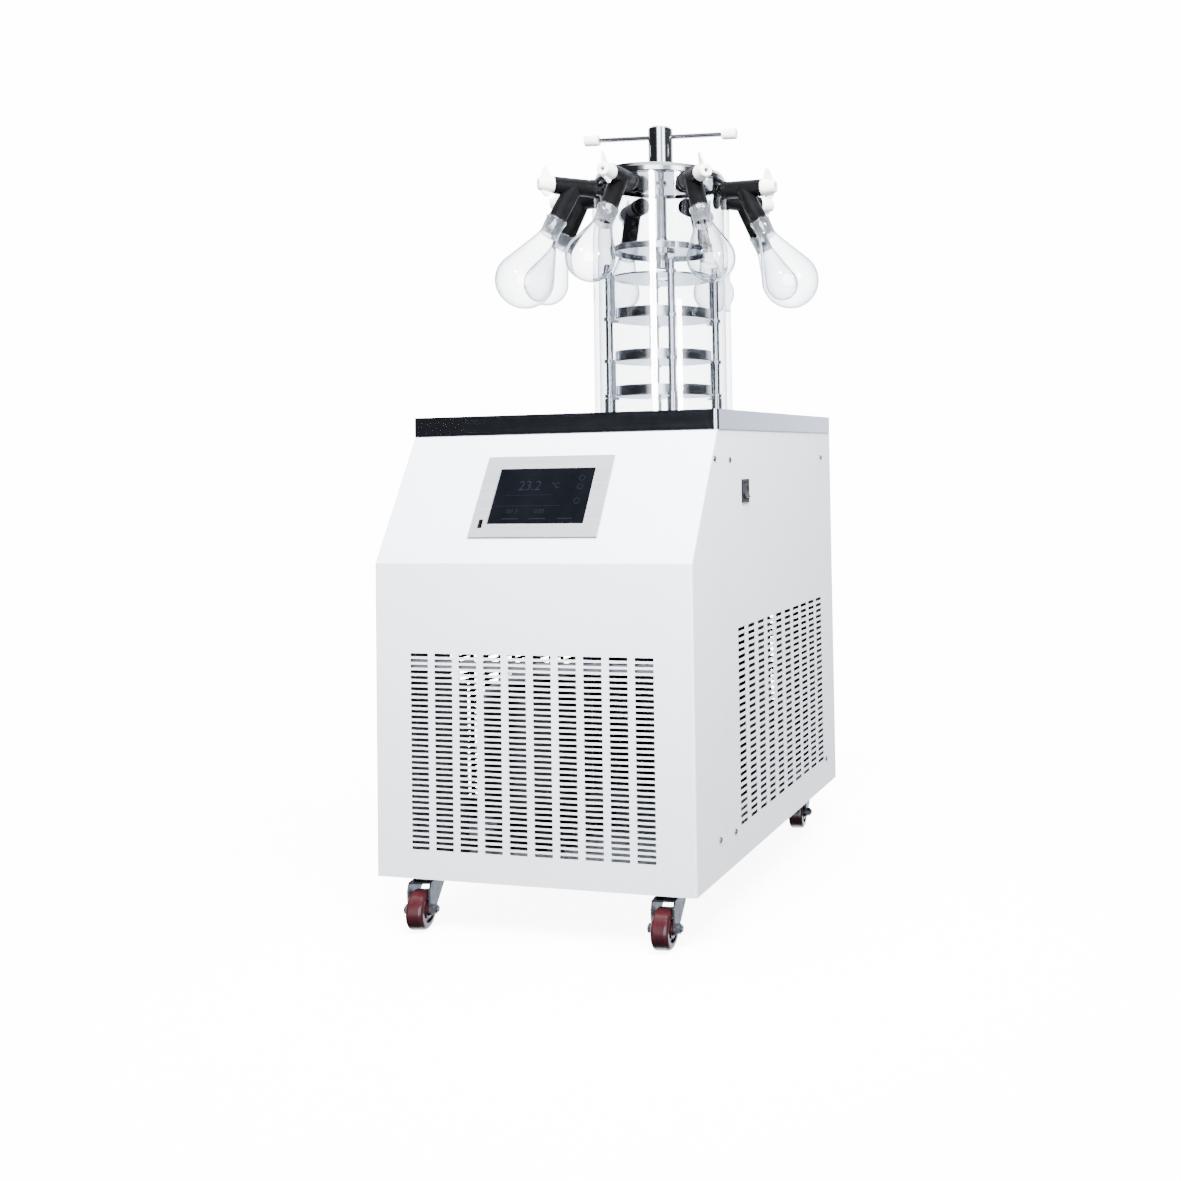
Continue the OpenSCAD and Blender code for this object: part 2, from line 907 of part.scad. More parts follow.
// Foam jacket around the cold trap, grooved for the cooling coil
module trap_insulation() {
  color("khaki")
    at_chamber()
      translate([0, 0, deck_top - 1.5 - trap_wall])
        rotate_extrude()
          difference() {
            translate([0, -trap_h - 20])
              square([foam_r, trap_h + 20]);
            translate([0, -trap_h + trap_wall - seat])
              square([trap_r + trap_wall + seat, trap_h + cut]);
            translate([0, -trap_h - 30])
              square([8.6, 60]);
            for (i = [0:coil_turns - 1])
              translate([coil_r, -20 - i * coil_pitch])
                circle(r = pipe_r + seat, $fn = 32);
          }
}

pipe_r = 5;
coil_turns = 8;
coil_pitch = 17;
coil_r = trap_r + trap_wall + seat + pipe_r + 0.6;

// Copper cooling coil around the trap and the insulated lines at the front and right
module refrigerant_lines() {
  color("lightgray") {
    at_chamber()
      for (i = [0:coil_turns - 1])
        translate([0, 0, deck_top - 1.5 - trap_wall - 20 - i * coil_pitch])
          rotate_extrude()
            translate([coil_r, 0])
              circle(r = pipe_r, $fn = 24);
    for (p = line_route)
      translate([p[0], p[1], base_z + frame_t])
        cylinder(r = p[2], h = p[3], $fn = 32);
  }
}

// Upright lines: X, Y, radius and height
line_route = [
  [-150, front_y + 26, 11, 265], [-128, front_y + 30, 11, 265], [-190, 24, 5, 430],
  [half_w - 26, -12, 11, 330], [half_w - 24, 96, 12, 300], [half_w - 28, 128, 8, 300]
];

// Closed box of electrics behind the display
module control_box() {
  color("gray")
    translate([-20, seam_y + 12 + frame_t, body_top - 232])
      cube([190, 54, 150]);
}

// ---- Casters ----

// Fixed upper parts of the casters: plate, ball race and king pin
module caster_plates() {
  color("dimgray")
    for (p = caster_xy)
      translate([p[0], p[1], 0]) {
        translate([0, 0, base_z - caster_plate_t])
          linear_extrude(caster_plate_t)
            round_rect(52, 52, 5);
        translate([0, 0, fork_top + seat])
          ring(19, king_r - eps, race_h - seat + eps);
        translate([0, 0, fork_top - fork_t - seat])
          cylinder(r = king_r, h = race_h + fork_t + 2 * seat);
        translate([0, 0, fork_top - fork_t - seat - 2])
          cylinder(r = king_r + 3, h = 2 + eps);
      }
}

// Moves a caster's own frame to its place; the wheel trails towards -Y before the turn
module at_caster(i) {
  translate([caster_xy[i - 1][0], caster_xy[i - 1][1], 0])
    rotate(caster_turns[i - 1])
      children();
}

// Side plate of a fork as a flat drawing: Y back from the axle, Z up
module fork_leg() {
  difference() {
    union() {
      polygon([
        [-caster_trail - 7, wheel_d / 2 - 3], [-caster_trail + 7, wheel_d / 2 - 5],
        [18, fork_top - 12], [18, fork_top], [-caster_trail - 4, fork_top], [-caster_trail - 9, fork_top - 10]
      ]);
      translate([-caster_trail, wheel_d / 2])
        circle(r = 8);
    }
    translate([-caster_trail, wheel_d / 2])
      circle(r = axle_r + 0.1, $fn = 32);
  }
}

// Pressed fork with its axle bolt and nut
module caster_fork(i) {
  half = fork_gap / 2;
  at_caster(i) {
    color("silver")
      difference() {
        union() {
          for (s = [-1, 1])
            translate([s > 0 ? half : -half - fork_t, 0, 0])
              rotate([90, 0, 90])
                linear_extrude(fork_t)
                  fork_leg();
          translate([-half - fork_t, -caster_trail - 4, fork_top - fork_t])
            cube([fork_gap + 2 * fork_t, caster_trail + 22, fork_t]);
        }
        translate([0, 0, fork_top - 2 * fork_t])
          cylinder(r = king_r + run, h = 3 * fork_t);
      }
    color("gray")
      translate([0, -caster_trail, wheel_d / 2])
        rotate([0, 90, 0]) {
          translate([0, 0, -half - fork_t - 7])
            cylinder(r = axle_r, h = fork_gap + 2 * fork_t + 15);
          for (s = [-1, 1])
            translate([0, 0, s > 0 ? half + fork_t : -half - fork_t - 5.5])
              cylinder(r = 7, h = 5.5, $fn = 6);
        }
  }
}

// Wheel with a rounded tread, side recesses and a hub bore
module caster_wheel(i) {
  r = wheel_d / 2;
  hw = wheel_w / 2;
  at_caster(i)
    color("brown")
      translate([0, -caster_trail, r])
        rotate([0, 90, 0])
          rotate_extrude()
            difference() {
              union() {
                translate([0, -hw])
                  square([r - 5, wheel_w]);
                translate([0, -hw + 5])
                  square([r, wheel_w - 10]);
                for (s = [-1, 1])
                  translate([r - 5, s * (hw - 5)])
                    circle(r = 5);
                translate([0, -hw - 1.6])
                  square([9, wheel_w + 3.2]);
              }
              for (s = [-1, 1])
                translate([12, s > 0 ? hw - 3 : -hw - cut])
                  square([6, 3 + cut]);
              translate([-cut, -hw - 5])
                square([axle_r + run + cut, wheel_w + 10]);
            }
}

// ---- Chamber ----

// Rubber rings under the tube and under the lid
module seal_rings() {
  color("whitesmoke")
    at_chamber() {
      translate([0, 0, deck_top])
        ring(tube_r + 1.5, bore_r - 1, ring_t);
      translate([0, 0, tube_z + tube_h])
        ring(lid_r - 0.5, bore_r - 1, ring_t);
    }
}

// Clear tube with a port for each valve
module chamber_tube() {
  color([0.8, 0.9, 0.95, 0.35])
    at_chamber()
      difference() {
        translate([0, 0, tube_z])
          ring(tube_r, bore_r, tube_h);
        for (i = [0:valve_count - 1])
          rotate(i * 360 / valve_count - 90)
            translate([bore_r - 20, 0, valve_z])
              rotate([0, 90, 0])
                cylinder(r = port_r, h = 50);
      }
}

// Polished lid with a bevelled upper edge and the press shaft's bush
module lid() {
  color("silver")
    at_chamber()
      difference() {
        translate([0, 0, lid_z])
          rotate_extrude()
            polygon([
              [0, 0], [lid_r, 0], [lid_r, lid_t * 0.52], [lid_r - 4, lid_t],
              [0, lid_t]
            ]);
        translate([0, 0, lid_z - cut])
          cylinder(r = shaft_r + run, h = lid_t + 2 * cut);
      }
}

// Turning hub with a cross hole for the bar
module press_hub() {
  color("silver")
    at_chamber()
      difference() {
        translate([0, 0, lid_top + seat])
          rotate_extrude()
            polygon([
              [0, 0], [hub_d / 2, 0], [hub_d / 2, hub_h - 3], [hub_d / 2 - 3, hub_h],
              [0, hub_h]
            ]);
        translate([0, 0, lid_top - cut])
          cylinder(r = shaft_r + eps, h = 30 + cut);
        translate([0, 0, bar_z])
          rotate([0, 90, bar_turn])
            cylinder(r = bar_d / 2 + run, h = 2 * hub_d, center = true, $fn = 48);
      }
}

// Cross bar of the handle
module handle_bar() {
  color("silver")
    at_chamber()
      translate([0, 0, bar_z])
        rotate([0, 90, bar_turn])
          cylinder(d = bar_d, h = bar_l - 8, center = true, $fn = 48);
}

// White caps on the ends of the cross bar
module bar_caps() {
  color("white")
    at_chamber()
      translate([0, 0, bar_z])
        rotate([0, 0, bar_turn])
          for (s = [0, 180])
            rotate(s)
              translate([bar_l / 2 - cap_l, 0, 0])
                rotate([0, 90, 0])
                  rotate_extrude()
                    difference() {
                      union() {
                        square([cap_r - 1.5, cap_l]);
                        translate([0, 1.5])
                          square([cap_r, cap_l - 3]);
                        for (y = [1.5, cap_l - 1.5])
                          translate([cap_r - 1.5, y])
                            circle(r = 1.5, $fn = 32);
                      }
                      translate([-cut, -cut])
                        square([bar_d / 2 + cut, cap_l - 4 + cut]);
                      translate([-20, -cut])
                        square([20, cap_l + 2 * cut]);
                    }
}

// Shaft through the lid, cone and neck below it, and the press screw with its thread drawn as rings
module press_screw() {
  turns = floor((thread_top - thread_end) / thread_pitch);
  r = screw_d / 2;
  color("silver")
    at_chamber()
      rotate_extrude()
        polygon(concat(
          [[0, lid_top + 28], [shaft_r, lid_top + 28], [shaft_r, lid_z - seat], [9, lid_z - seat],
           [9, lid_z - 3], [neck_r, lid_z - 7], [neck_r, thread_top + 1.5], [r - 1.4, thread_top]],
          [for (i = [0:turns - 1]) for (k = [0, 1])
            [k == 0 ? r - 1 : r, thread_top - (i + 0.25 + 0.5 * k) * thread_pitch]],
          [[r - 1.5, thread_end], [0, thread_end]]
        ));
}

// Long nut that rides on the screw
module press_nut() {
  color("silver")
    at_chamber()
      translate([0, 0, nut_top - nut_l])
        difference() {
          rotate_extrude()
            polygon([
              [0, 0], [nut_r, 0], [nut_r, nut_l - 2], [nut_r - 0.8, nut_l], [0, nut_l]
            ]);
          translate([0, 0, -cut])
            cylinder(r = screw_d / 2 + run, h = nut_l + 2 * cut);
        }
}

// Press plate around the nut, with a turned-down skirt
module press_plate() {
  color("silver")
    at_chamber()
      translate([0, 0, plate_top - press_t])
        rotate_extrude()
          difference() {
            union() {
              square([press_d / 2, press_t - 1.5]);
              square([press_d / 2 - 1.5, press_t]);
              translate([press_d / 2 - 1.5, press_t - 1.5])
                circle(r = 1.5, $fn = 32);
            }
            translate([22, -cut])
              square([press_d / 2 - 26, 5 + cut]);
            translate([-cut, -cut])
              square([nut_r + cut, press_t + 2 * cut]);
          }
}

// ---- Shelf rack ----

// Moves to a guide rod's place: k = 0 is the front rod
module at_rod(k) {
  rotate(rack_turn - 90 + 90 * k)
    translate([rod_r, 0, 0])
      children();
}

// Guide rods with their wide feet and small domed tops
module rack_rods() {
  r = rod_d / 2;
  color("silver")
    at_chamber()
      for (k = [0:3])
        at_rod(k)
          translate([0, 0, deck_top])
            rotate_extrude()
              polygon([
                [0, 0], [bush_r, 0], [bush_r, rack_foot_h - bush_h / 2 - seat], [r, rack_foot_h - bush_h / 2 - seat],
                [r, rod_top - deck_top - 1.5], [r - 1.5, rod_top - deck_top], [0, rod_top - deck_top]
              ]);
}

// Hanging link beside a rod: welded to the shelf above, hooked under the shelf below
module link(drop) {
  translate([link_in, link_aside, -drop - hook_h])
    cube([link_w, link_t, drop + hook_h + eps]);
  translate([link_in - 5, link_aside, -drop - hook_h])
    cube([5 + eps, link_t, hook_h - seat - 1]);
}

// Shelf plate with four bushes; notches let the links of the shelf above through
module shelf(z, t, drop, first, hole_r) {
  color("silver")
    at_chamber()
      translate([0, 0, z]) {
        difference() {
          union() {
            cylinder(r = shelf_d / 2, h = t, $fn = 120);
            for (k = [0:3]) {
              at_rod(k)
                translate([0, 0, t / 2 - bush_h / 2])
                  cylinder(r = bush_r, h = bush_h);
            }
          }
          for (k = [0:3]) {
            at_rod(k)
              translate([0, 0, -bush_h])
                cylinder(r = rod_d / 2 + seat, h = 3 * bush_h);
            rotate(rack_turn - 90 + 90 * k)
              translate([link_in - 0.6, link_aside - 0.6, -cut])
                cube([link_w + 6, link_t + 1.2, t + 2 * cut]);
          }
          if (hole_r > 0)
            translate([0, 0, -cut])
              cylinder(r = hole_r, h = t + 2 * cut);
        }
        if (drop > 0)
          for (k = [first, first + 2])
            rotate(rack_turn - 90 + 90 * k) {
              translate([0, 0, t / 2])
                link(drop + t / 2);
              translate([link_in - 4, link_aside - 0.7, 0])
                cube([link_w + 4, link_t + 1.4, t]);
            }
      }
}

module shelf_1() {
  shelf(shelf_z1, top_shelf_t, shelf_gap, 1, nut_way_r);
}

module shelf_2() {
  shelf(shelf_z2, shelf_t, shelf_gap, 0, 0);
}

module shelf_3() {
  shelf(shelf_z3, shelf_t, low_gap, 1, 0);
}

module shelf_4() {
  shelf(shelf_z4, shelf_t, 0, 0, 0);
}

// Round tray lying on a shelf
module tray(z) {
  color("silver")
    at_chamber()
      translate([0, 0, z + shelf_t])
        rotate_extrude($fn = 120)
          difference() {
            union() {
              translate([0, 1])
                square([tray_r, tray_h - 1]);
              square([tray_r - 1, tray_h]);
              translate([tray_r - 1, 1])
                circle(r = 1, $fn = 24);
            }
            translate([-cut, tray_t])
              square([tray_r - tray_t + cut, tray_h]);
          }
}

module tray_2() {
  tray(shelf_z2);
}

module tray_3() {
  tray(shelf_z3);
}

module tray_4() {
  tray(shelf_z4);
}

// ---- Valves and flasks ----

// Moves to a valve's own frame: X out along its axis
module at_valve(i) {
  at_chamber()
    rotate((i - 1) * 360 / valve_count - 90)
      translate([0, 0, valve_z])
        children();
}

// Frame of a valve's branch: Z points up along it, with the flask's mouth at z = -branch_l
module on_branch(i) {
  at_valve(i)
    translate([branch_x, 0, 0])
      rotate([-branch_tilts[i - 1], 0, 0])
        rotate([0, -branch_angle, 0])
          children();
}

// Rubber valve bodies, through the ports of the tube
module valve_bodies() {
  color([0.12, 0.12, 0.13])
    for (i = [1:valve_count])
      difference() {
        union() {
          at_valve(i)
            rotate([0, 90, 0]) {
              translate([0, 0, bore_r - 5])
                cylinder(r = 15, h = 3.6);
              translate([0, 0, bore_r - 2])
                cylinder(r = neck_valve_r, h = tube_wall + 4);
              translate([0, 0, tube_r])
                cylinder(r = valve_r + 1, h = 6);
              translate([0, 0, tube_r])
                cylinder(r = valve_r, h = valve_l);
            }
          on_branch(i) {
            translate([0, 0, -branch_l])
              cylinder(r = valve_r, h = branch_l);
            translate([0, 0, -branch_l - cone_l])
              cylinder(r1 = valve_r - 1, r2 = valve_r, h = cone_l + eps);
          }
        }
        at_valve(i)
          rotate([0, 90, 0]) {
            translate([0, 0, bore_r - 6])
              cylinder(r = flow_r, h = 60);
            translate([0, 0, plug_start])
              cylinder(r = plug_r, h = 100);
          }
        on_branch(i)
          translate([0, 0, -branch_l - cone_l - cut])
            cylinder(r = flow_r, h = branch_l + cone_l + cut);
      }
}

// Grip fin of a knob, standing on its axis
module knob_fin(reach) {
  rotate([90, 0, 0])
    translate([0, 0, -fin_t / 2])
      linear_extrude(fin_t)
        polygon([
          [-knob_l * 0.36, 0], [knob_l * 0.36, 0], [knob_l * 0.3, knob_r + 1], [knob_l * 0.1, reach - 1],
          [0, reach], [-knob_l * 0.12, reach - 1], [-knob_l * 0.32, knob_r + 2]
        ]);
}

// White tapered knob with its hollow plug; the side port lines up with the branch
module valve_knob(i) {
  x0 = valve_end + seat;
  color("white")
    at_valve(i)
      difference() {
        union() {
          rotate([0, 90, 0]) {
            translate([0, 0, plug_start + seat])
              cylinder(r = plug_r - run, h = valve_end - plug_start);
            translate([0, 0, x0])
              rotate_extrude()
                polygon([
                  [0, 0], [knob_r - 0.8, 0], [knob_r, 0.8], [knob_r, 5], [knob_r - 3.2, knob_l - 1.6],
                  [knob_r - 4.6, knob_l], [0, knob_l]
                ]);
          }
          translate([x0 + knob_l / 2, 0, 0])
            rotate([fin_turn, 0, 0]) {
              knob_fin(fin_up);
              mirror([0, 0, 1])
                knob_fin(fin_down);
            }
        }
        rotate([0, 90, 0]) {
          translate([0, 0, plug_start])
            cylinder(r = flow_r, h = branch_x - plug_start + 4);
          translate([0, 0, x0 + knob_l - 9])
            cylinder(r = vent_r, h = 12);
        }
        translate([branch_x, 0, 0])
          rotate([0, 180 - branch_angle, 0])
            cylinder(r = flow_r - 0.6, h = 20);
      }
}

// Half section of a flask, mouth at y = 0 and bulb below; grown by -t for the inside
module flask_outline(bulb_r, drop, t) {
  r = bulb_r - t;
  neck = joint_r - joint_taper - (t > 0 ? 1.8 : 0);
  lean = acos(r / sqrt(pow(neck, 2) + pow(drop - joint_l, 2)));
  base = atan2(neck, drop - joint_l);
  touch = base + lean;
  intersection() {
    union() {
      translate([0, -drop])
        circle(r = r, $fn = 96);
      polygon([
        [0, -joint_l + eps], [neck, -joint_l + eps],
        [r * sin(touch), -drop + r * cos(touch)], [0, -drop + r * cos(touch)]
      ]);
    }
    translate([0, -drop - bulb_r - 2])
      square([bulb_r + 20, drop + bulb_r + 2]);
  }
}

// Glass flasks hung on the valves by their ground joints
module flasks() {
  color([0.85, 0.93, 0.95, 0.4])
    for (i = [1:valve_count])
      on_branch(i)
        translate([0, 0, -branch_l])
          rotate_extrude($fn = 96)
            difference() {
              union() {
                flask_outline(bulb_sizes[i - 1] / 2, bulb_drops[i - 1], 0);
                polygon([[0, 0], [joint_r, 0], [joint_r - joint_taper, -joint_l], [0, -joint_l]]);
              }
              union() {
                flask_outline(bulb_sizes[i - 1] / 2, bulb_drops[i - 1], glass_t);
                polygon([
                  [-cut, cut], [joint_in, cut], [joint_in, 0],
                  [joint_in - joint_taper, -joint_l], [-cut, -joint_l]
                ]);
              }
            }
}

// ---- Drawing ----

chassis();
front_cover();
side_panel_left();
side_panel_right();
rear_panel();
top_plate();
panel_screws();
screen_bezel();
touch_screen();
usb_socket();
switch_housing();
switch_rocker();
mains_inlet();
vacuum_port();
drain_valve();
drain_lever();
compressor();
condenser();
fan_motor();
fan_rotor();
cold_trap();
trap_insulation();
refrigerant_lines();
control_box();
caster_plates();
for (i = [1:4]) {
  caster_fork(i);
  caster_wheel(i);
}
seal_rings();
chamber_tube();
lid();
press_hub();
handle_bar();
bar_caps();
press_screw();
press_nut();
press_plate();
rack_rods();
shelf_1();
shelf_2();
shelf_3();
shelf_4();
tray_2();
tray_3();
tray_4();
valve_bodies();
for (i = [1:valve_count])
  valve_knob(i);
flasks();
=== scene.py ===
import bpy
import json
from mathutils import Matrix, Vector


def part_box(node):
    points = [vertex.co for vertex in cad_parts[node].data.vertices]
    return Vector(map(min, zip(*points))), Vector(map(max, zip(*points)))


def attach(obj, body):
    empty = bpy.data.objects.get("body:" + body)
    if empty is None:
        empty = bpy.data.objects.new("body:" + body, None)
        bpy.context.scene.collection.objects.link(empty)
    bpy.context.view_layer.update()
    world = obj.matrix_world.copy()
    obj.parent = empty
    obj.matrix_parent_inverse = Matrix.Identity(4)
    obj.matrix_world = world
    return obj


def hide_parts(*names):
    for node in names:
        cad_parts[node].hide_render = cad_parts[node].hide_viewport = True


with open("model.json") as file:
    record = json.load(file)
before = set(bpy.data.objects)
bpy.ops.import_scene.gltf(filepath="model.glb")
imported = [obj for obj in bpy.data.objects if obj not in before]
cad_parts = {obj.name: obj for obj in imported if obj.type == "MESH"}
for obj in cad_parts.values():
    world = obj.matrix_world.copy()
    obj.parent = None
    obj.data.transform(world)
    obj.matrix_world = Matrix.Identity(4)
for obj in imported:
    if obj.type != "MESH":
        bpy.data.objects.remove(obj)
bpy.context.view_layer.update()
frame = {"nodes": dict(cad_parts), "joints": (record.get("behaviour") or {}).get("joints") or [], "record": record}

import bpy
import json
import math
from mathutils import Matrix, Vector

nodes = frame["nodes"]


# ---- Camera ----
# It stands a little to the right of the machine, at the height of the deck, and looks slightly up.
# The machine stands left of the lens axis, so the lens is shifted and its upright edges stay upright.
camera_at = (0.903, -1.7745, 0.6459)
camera_turn = (91.658, 1.2175, 13.809)
camera_sensor = 36
camera_lens = 36.92
camera_shift = (-0.2727, -0.1456)

camera = bpy.data.objects.new("camera", bpy.data.cameras.new("camera"))
bpy.context.scene.collection.objects.link(camera)
camera.location = camera_at
camera.rotation_euler = [math.radians(angle) for angle in camera_turn]
camera.data.sensor_width = camera_sensor
camera.data.lens = camera_lens
camera.data.shift_x, camera.data.shift_y = camera_shift
bpy.context.scene.camera = camera


# ---- Studio floor ----
# A pale matt floor under the machine, evenly bright and hidden from mirrors. It fades out with the
# distance from the machine, so that no edge shows against the white surround.
floor_size = 30
floor_fade = (0.35, 1.3)


def new_material(name, **sockets):
    """A material with one Principled shader, whose sockets are set by their names in lower case."""
    material = bpy.data.materials.new(name)
    material.use_nodes = True
    shader = material.node_tree.nodes["Principled BSDF"]
    for key, value in sockets.items():
        socket = shader.inputs[key.replace("_", " ").title().replace("Ior", "IOR")]
        is_colour = isinstance(value, tuple) and len(value) == 3
        socket.default_value = (*value, 1) if is_colour else value
    return material, material.node_tree, shader


def remap(tree, value, from_low, from_high, low, high):
    """Maps a number smoothly from one range onto another."""
    node = tree.nodes.new("ShaderNodeMapRange")
    node.interpolation_type = "SMOOTHSTEP"
    node.inputs["From Min"].default_value = from_low
    node.inputs["From Max"].default_value = from_high
    node.inputs["To Min"].default_value = low
    node.inputs["To Max"].default_value = high
    tree.links.new(value, node.inputs["Value"])
    return node.outputs["Result"]


def deselect():
    """Leaves object mode with nothing selected."""
    if bpy.context.object and bpy.context.object.mode != "OBJECT":
        bpy.ops.object.mode_set(mode="OBJECT")
    bpy.ops.object.select_all(action="DESELECT")


deselect()
bpy.ops.mesh.primitive_plane_add(size=floor_size, location=(0, 0, 0))
floor = bpy.context.object
floor.name = "floor"
floor_paint, tree, shader = new_material(
    "floor_paint", base_color=(0.86, 0.865, 0.87), roughness=0.7,
    emission_color=(1.0, 1.0, 1.0), emission_strength=9.0)
clear = tree.nodes.new("ShaderNodeBsdfTransparent")
mix = tree.nodes.new("ShaderNodeMixShader")
coords = tree.nodes.new("ShaderNodeTexCoord")
reach = tree.nodes.new("ShaderNodeVectorMath")
reach.operation = "LENGTH"
tree.links.new(coords.outputs["Object"], reach.inputs[0])
tree.links.new(remap(tree, reach.outputs["Value"], *floor_fade, 0, 1), mix.inputs["Fac"])
tree.links.new(shader.outputs["BSDF"], mix.inputs[1])
tree.links.new(clear.outputs["BSDF"], mix.inputs[2])
tree.links.new(mix.outputs["Shader"], tree.nodes["Material Output"].inputs["Surface"])
floor.data.materials.append(floor_paint)
floor.visible_glossy = False
floor.visible_diffuse = False


# ---- Studio surround ----
# Seen straight on, the surround is plain white, and matt pieces get a soft even light from it.
# Polished ones see a room: white behind the machine, dark beside it, two tall windows in front and a
# ceiling. The lists give its light at angles about the chamber, counted from the camera's side.
surround = 15.0
ambient = 0.8
room_peak = 9.0
room_tint = (0.88, 0.94, 1.06)
behind_by_turn = [
    (-180, 4.2), (-156, 4.2), (-136, 1.2), (-120, 0.04), (-60, 0.035),
    (90, 0.1), (118, 0.15), (129, 1.6), (156, 4.2), (180, 4.2)]
window_by_turn = [
    (-180, 0), (-42, 0), (-31, 0.6), (-25, 9), (-5, 8), (5, 1.1),
    (16, 1.1), (23, 9), (34, 9), (43, 0.1), (55, 0), (180, 0)]
window_foot = (-0.3, -0.15)
window_head = (0.35, 0.6)
ceiling_rim = (0.84, 0.98)
ceiling_light = 2.6
ceiling_tint = (0.95, 0.97, 1.0)
white = (1, 1, 1)

chamber_low, chamber_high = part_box("chamber_tube")
chamber_x = (chamber_low.x + chamber_high.x) / 2
chamber_y = (chamber_low.y + chamber_high.y) / 2
to_camera = Vector((camera_at[0] - chamber_x, camera_at[1] - chamber_y, 0)).normalized()

world = bpy.data.worlds.new("studio")
bpy.context.scene.world = world
world.use_nodes = True
world.cycles.sampling_method = "NONE"
tree = world.node_tree
tree.nodes.clear()
out = tree.nodes.new("ShaderNodeOutputWorld")
rays = tree.nodes.new("ShaderNodeLightPath")
where = tree.nodes.new("ShaderNodeTexCoord")
split = tree.nodes.new("ShaderNodeSeparateXYZ")
tree.links.new(where.outputs["Generated"], split.inputs["Vector"])


def backdrop(colour, strength):
    """A background for the world, whose strength is a number or comes from a node."""
    node = tree.nodes.new("ShaderNodeBackground")
    node.inputs["Color"].default_value = (*colour, 1)
    if isinstance(strength, (int, float)):
        node.inputs["Strength"].default_value = strength
    else:
        tree.links.new(strength, node.inputs["Strength"])
    return node.outputs["Background"]


def join_shaders(kind, first, second, chooser=None):
    """Adds two backgrounds, or picks the second one where the chosen ray count is over zero."""
    node = tree.nodes.new(kind)
    places = [socket for socket in node.inputs if socket.type == "SHADER"]
    tree.links.new(first, places[0])
    tree.links.new(second, places[1])
    if chooser:
        tree.links.new(rays.outputs[chooser], node.inputs["Fac"])
    return node.outputs["Shader"]


def along(direction):
    """How far a ray points along a level direction."""
    node = tree.nodes.new("ShaderNodeVectorMath")
    node.operation = "DOT_PRODUCT"
    node.inputs[1].default_value = direction
    tree.links.new(where.outputs["Generated"], node.inputs[0])
    return node.outputs["Value"]


ray_turn = tree.nodes.new("ShaderNodeMath")
ray_turn.operation = "ARCTAN2"
tree.links.new(along(Matrix.Rotation(math.radians(90), 3, "Z") @ to_camera), ray_turn.inputs[0])
tree.links.new(along(to_camera), ray_turn.inputs[1])
full_turn = tree.nodes.new("ShaderNodeMapRange")
full_turn.inputs["From Min"].default_value = -math.pi
full_turn.inputs["From Max"].default_value = math.pi
tree.links.new(ray_turn.outputs["Value"], full_turn.inputs["Value"])


def by_turn(lights, strength):
    """A background whose light follows the level angle from the camera's side."""
    ramp = tree.nodes.new("ShaderNodeValToRGB")
    stops = ramp.color_ramp.elements
    for angle, light in lights:
        share = (angle + 180) / 360
        stop = stops[0] if share == 0 else stops[-1] if share == 1 else stops.new(share)
        stop.color = (*[light / room_peak * part for part in room_tint], 1)
    tree.links.new(full_turn.outputs["Result"], ramp.inputs["Fac"])
    lit = backdrop(white, strength)
    tree.links.new(ramp.outputs["Color"], lit.node.inputs["Color"])
    return lit


window_height = tree.nodes.new("ShaderNodeMath")
window_height.operation = "MULTIPLY"
tree.links.new(remap(tree, split.outputs["Z"], *window_foot, 0, room_peak), window_height.inputs[0])
tree.links.new(remap(tree, split.outputs["Z"], *window_head, 1, 0), window_height.inputs[1])
room = join_shaders("ShaderNodeAddShader", by_turn(behind_by_turn, room_peak),
                    by_turn(window_by_turn, window_height.outputs["Value"]))
ceiling = backdrop(ceiling_tint, remap(tree, split.outputs["Z"], *ceiling_rim, 0, ceiling_light))
room = join_shaders("ShaderNodeAddShader", room, ceiling)
sky = join_shaders("ShaderNodeMixShader", backdrop(white, surround), backdrop(white, ambient),
                   "Diffuse Depth")
sky = join_shaders("ShaderNodeMixShader", sky, room, "Glossy Depth")
tree.links.new(sky, out.inputs["Surface"])


# ---- Studio lamps ----
# A broad light from overhead, a soft key in front above the machine, and a weaker fill behind it.
# Mirrors don't show them. The clear pieces get lamps of their own in their sections.
lamp_aim = 0.65
overhead_strength = 7
overhead_spread = 70
overhead_turn = (8, -6, 0)


def soft_lamp(name, turn, distance, size, radiance, height, only_on=()):
    """A rectangular lamp, at an angle in degrees beside the camera's side, aimed at the chamber.

    A lamp for named pieces stands level with its aim, and only their gloss shows it.
    """
    lamp = bpy.data.objects.new(name, bpy.data.lights.new(name, "AREA"))
    bpy.context.scene.collection.objects.link(lamp)
    lamp.data.shape = "RECTANGLE"
    lamp.data.size, lamp.data.size_y = size
    lamp.data.energy = radiance * math.pi * size[0] * size[1]
    side = Matrix.Rotation(math.radians(turn), 3, "Z") @ to_camera
    lamp.location = Vector((chamber_x, chamber_y, height)) + side * distance
    aim = Vector((chamber_x, chamber_y, lamp_aim)) - lamp.location
    if only_on:
        aim.z = 0
        lit = bpy.data.collections.new(name + "_lights")
        for piece in only_on:
            lit.objects.link(piece)
        lamp.light_linking.receiver_collection = lit
        lamp.visible_diffuse = False
        lamp.visible_transmission = False
    lamp.rotation_euler = aim.to_track_quat("-Z", "Y").to_euler()
    lamp.visible_camera = False
    return lamp


overhead = bpy.data.objects.new("overhead", bpy.data.lights.new("overhead", "SUN"))
bpy.context.scene.collection.objects.link(overhead)
overhead.data.energy = overhead_strength
overhead.data.angle = math.radians(overhead_spread)
overhead.rotation_euler = [math.radians(angle) for angle in overhead_turn]
overhead.visible_glossy = False

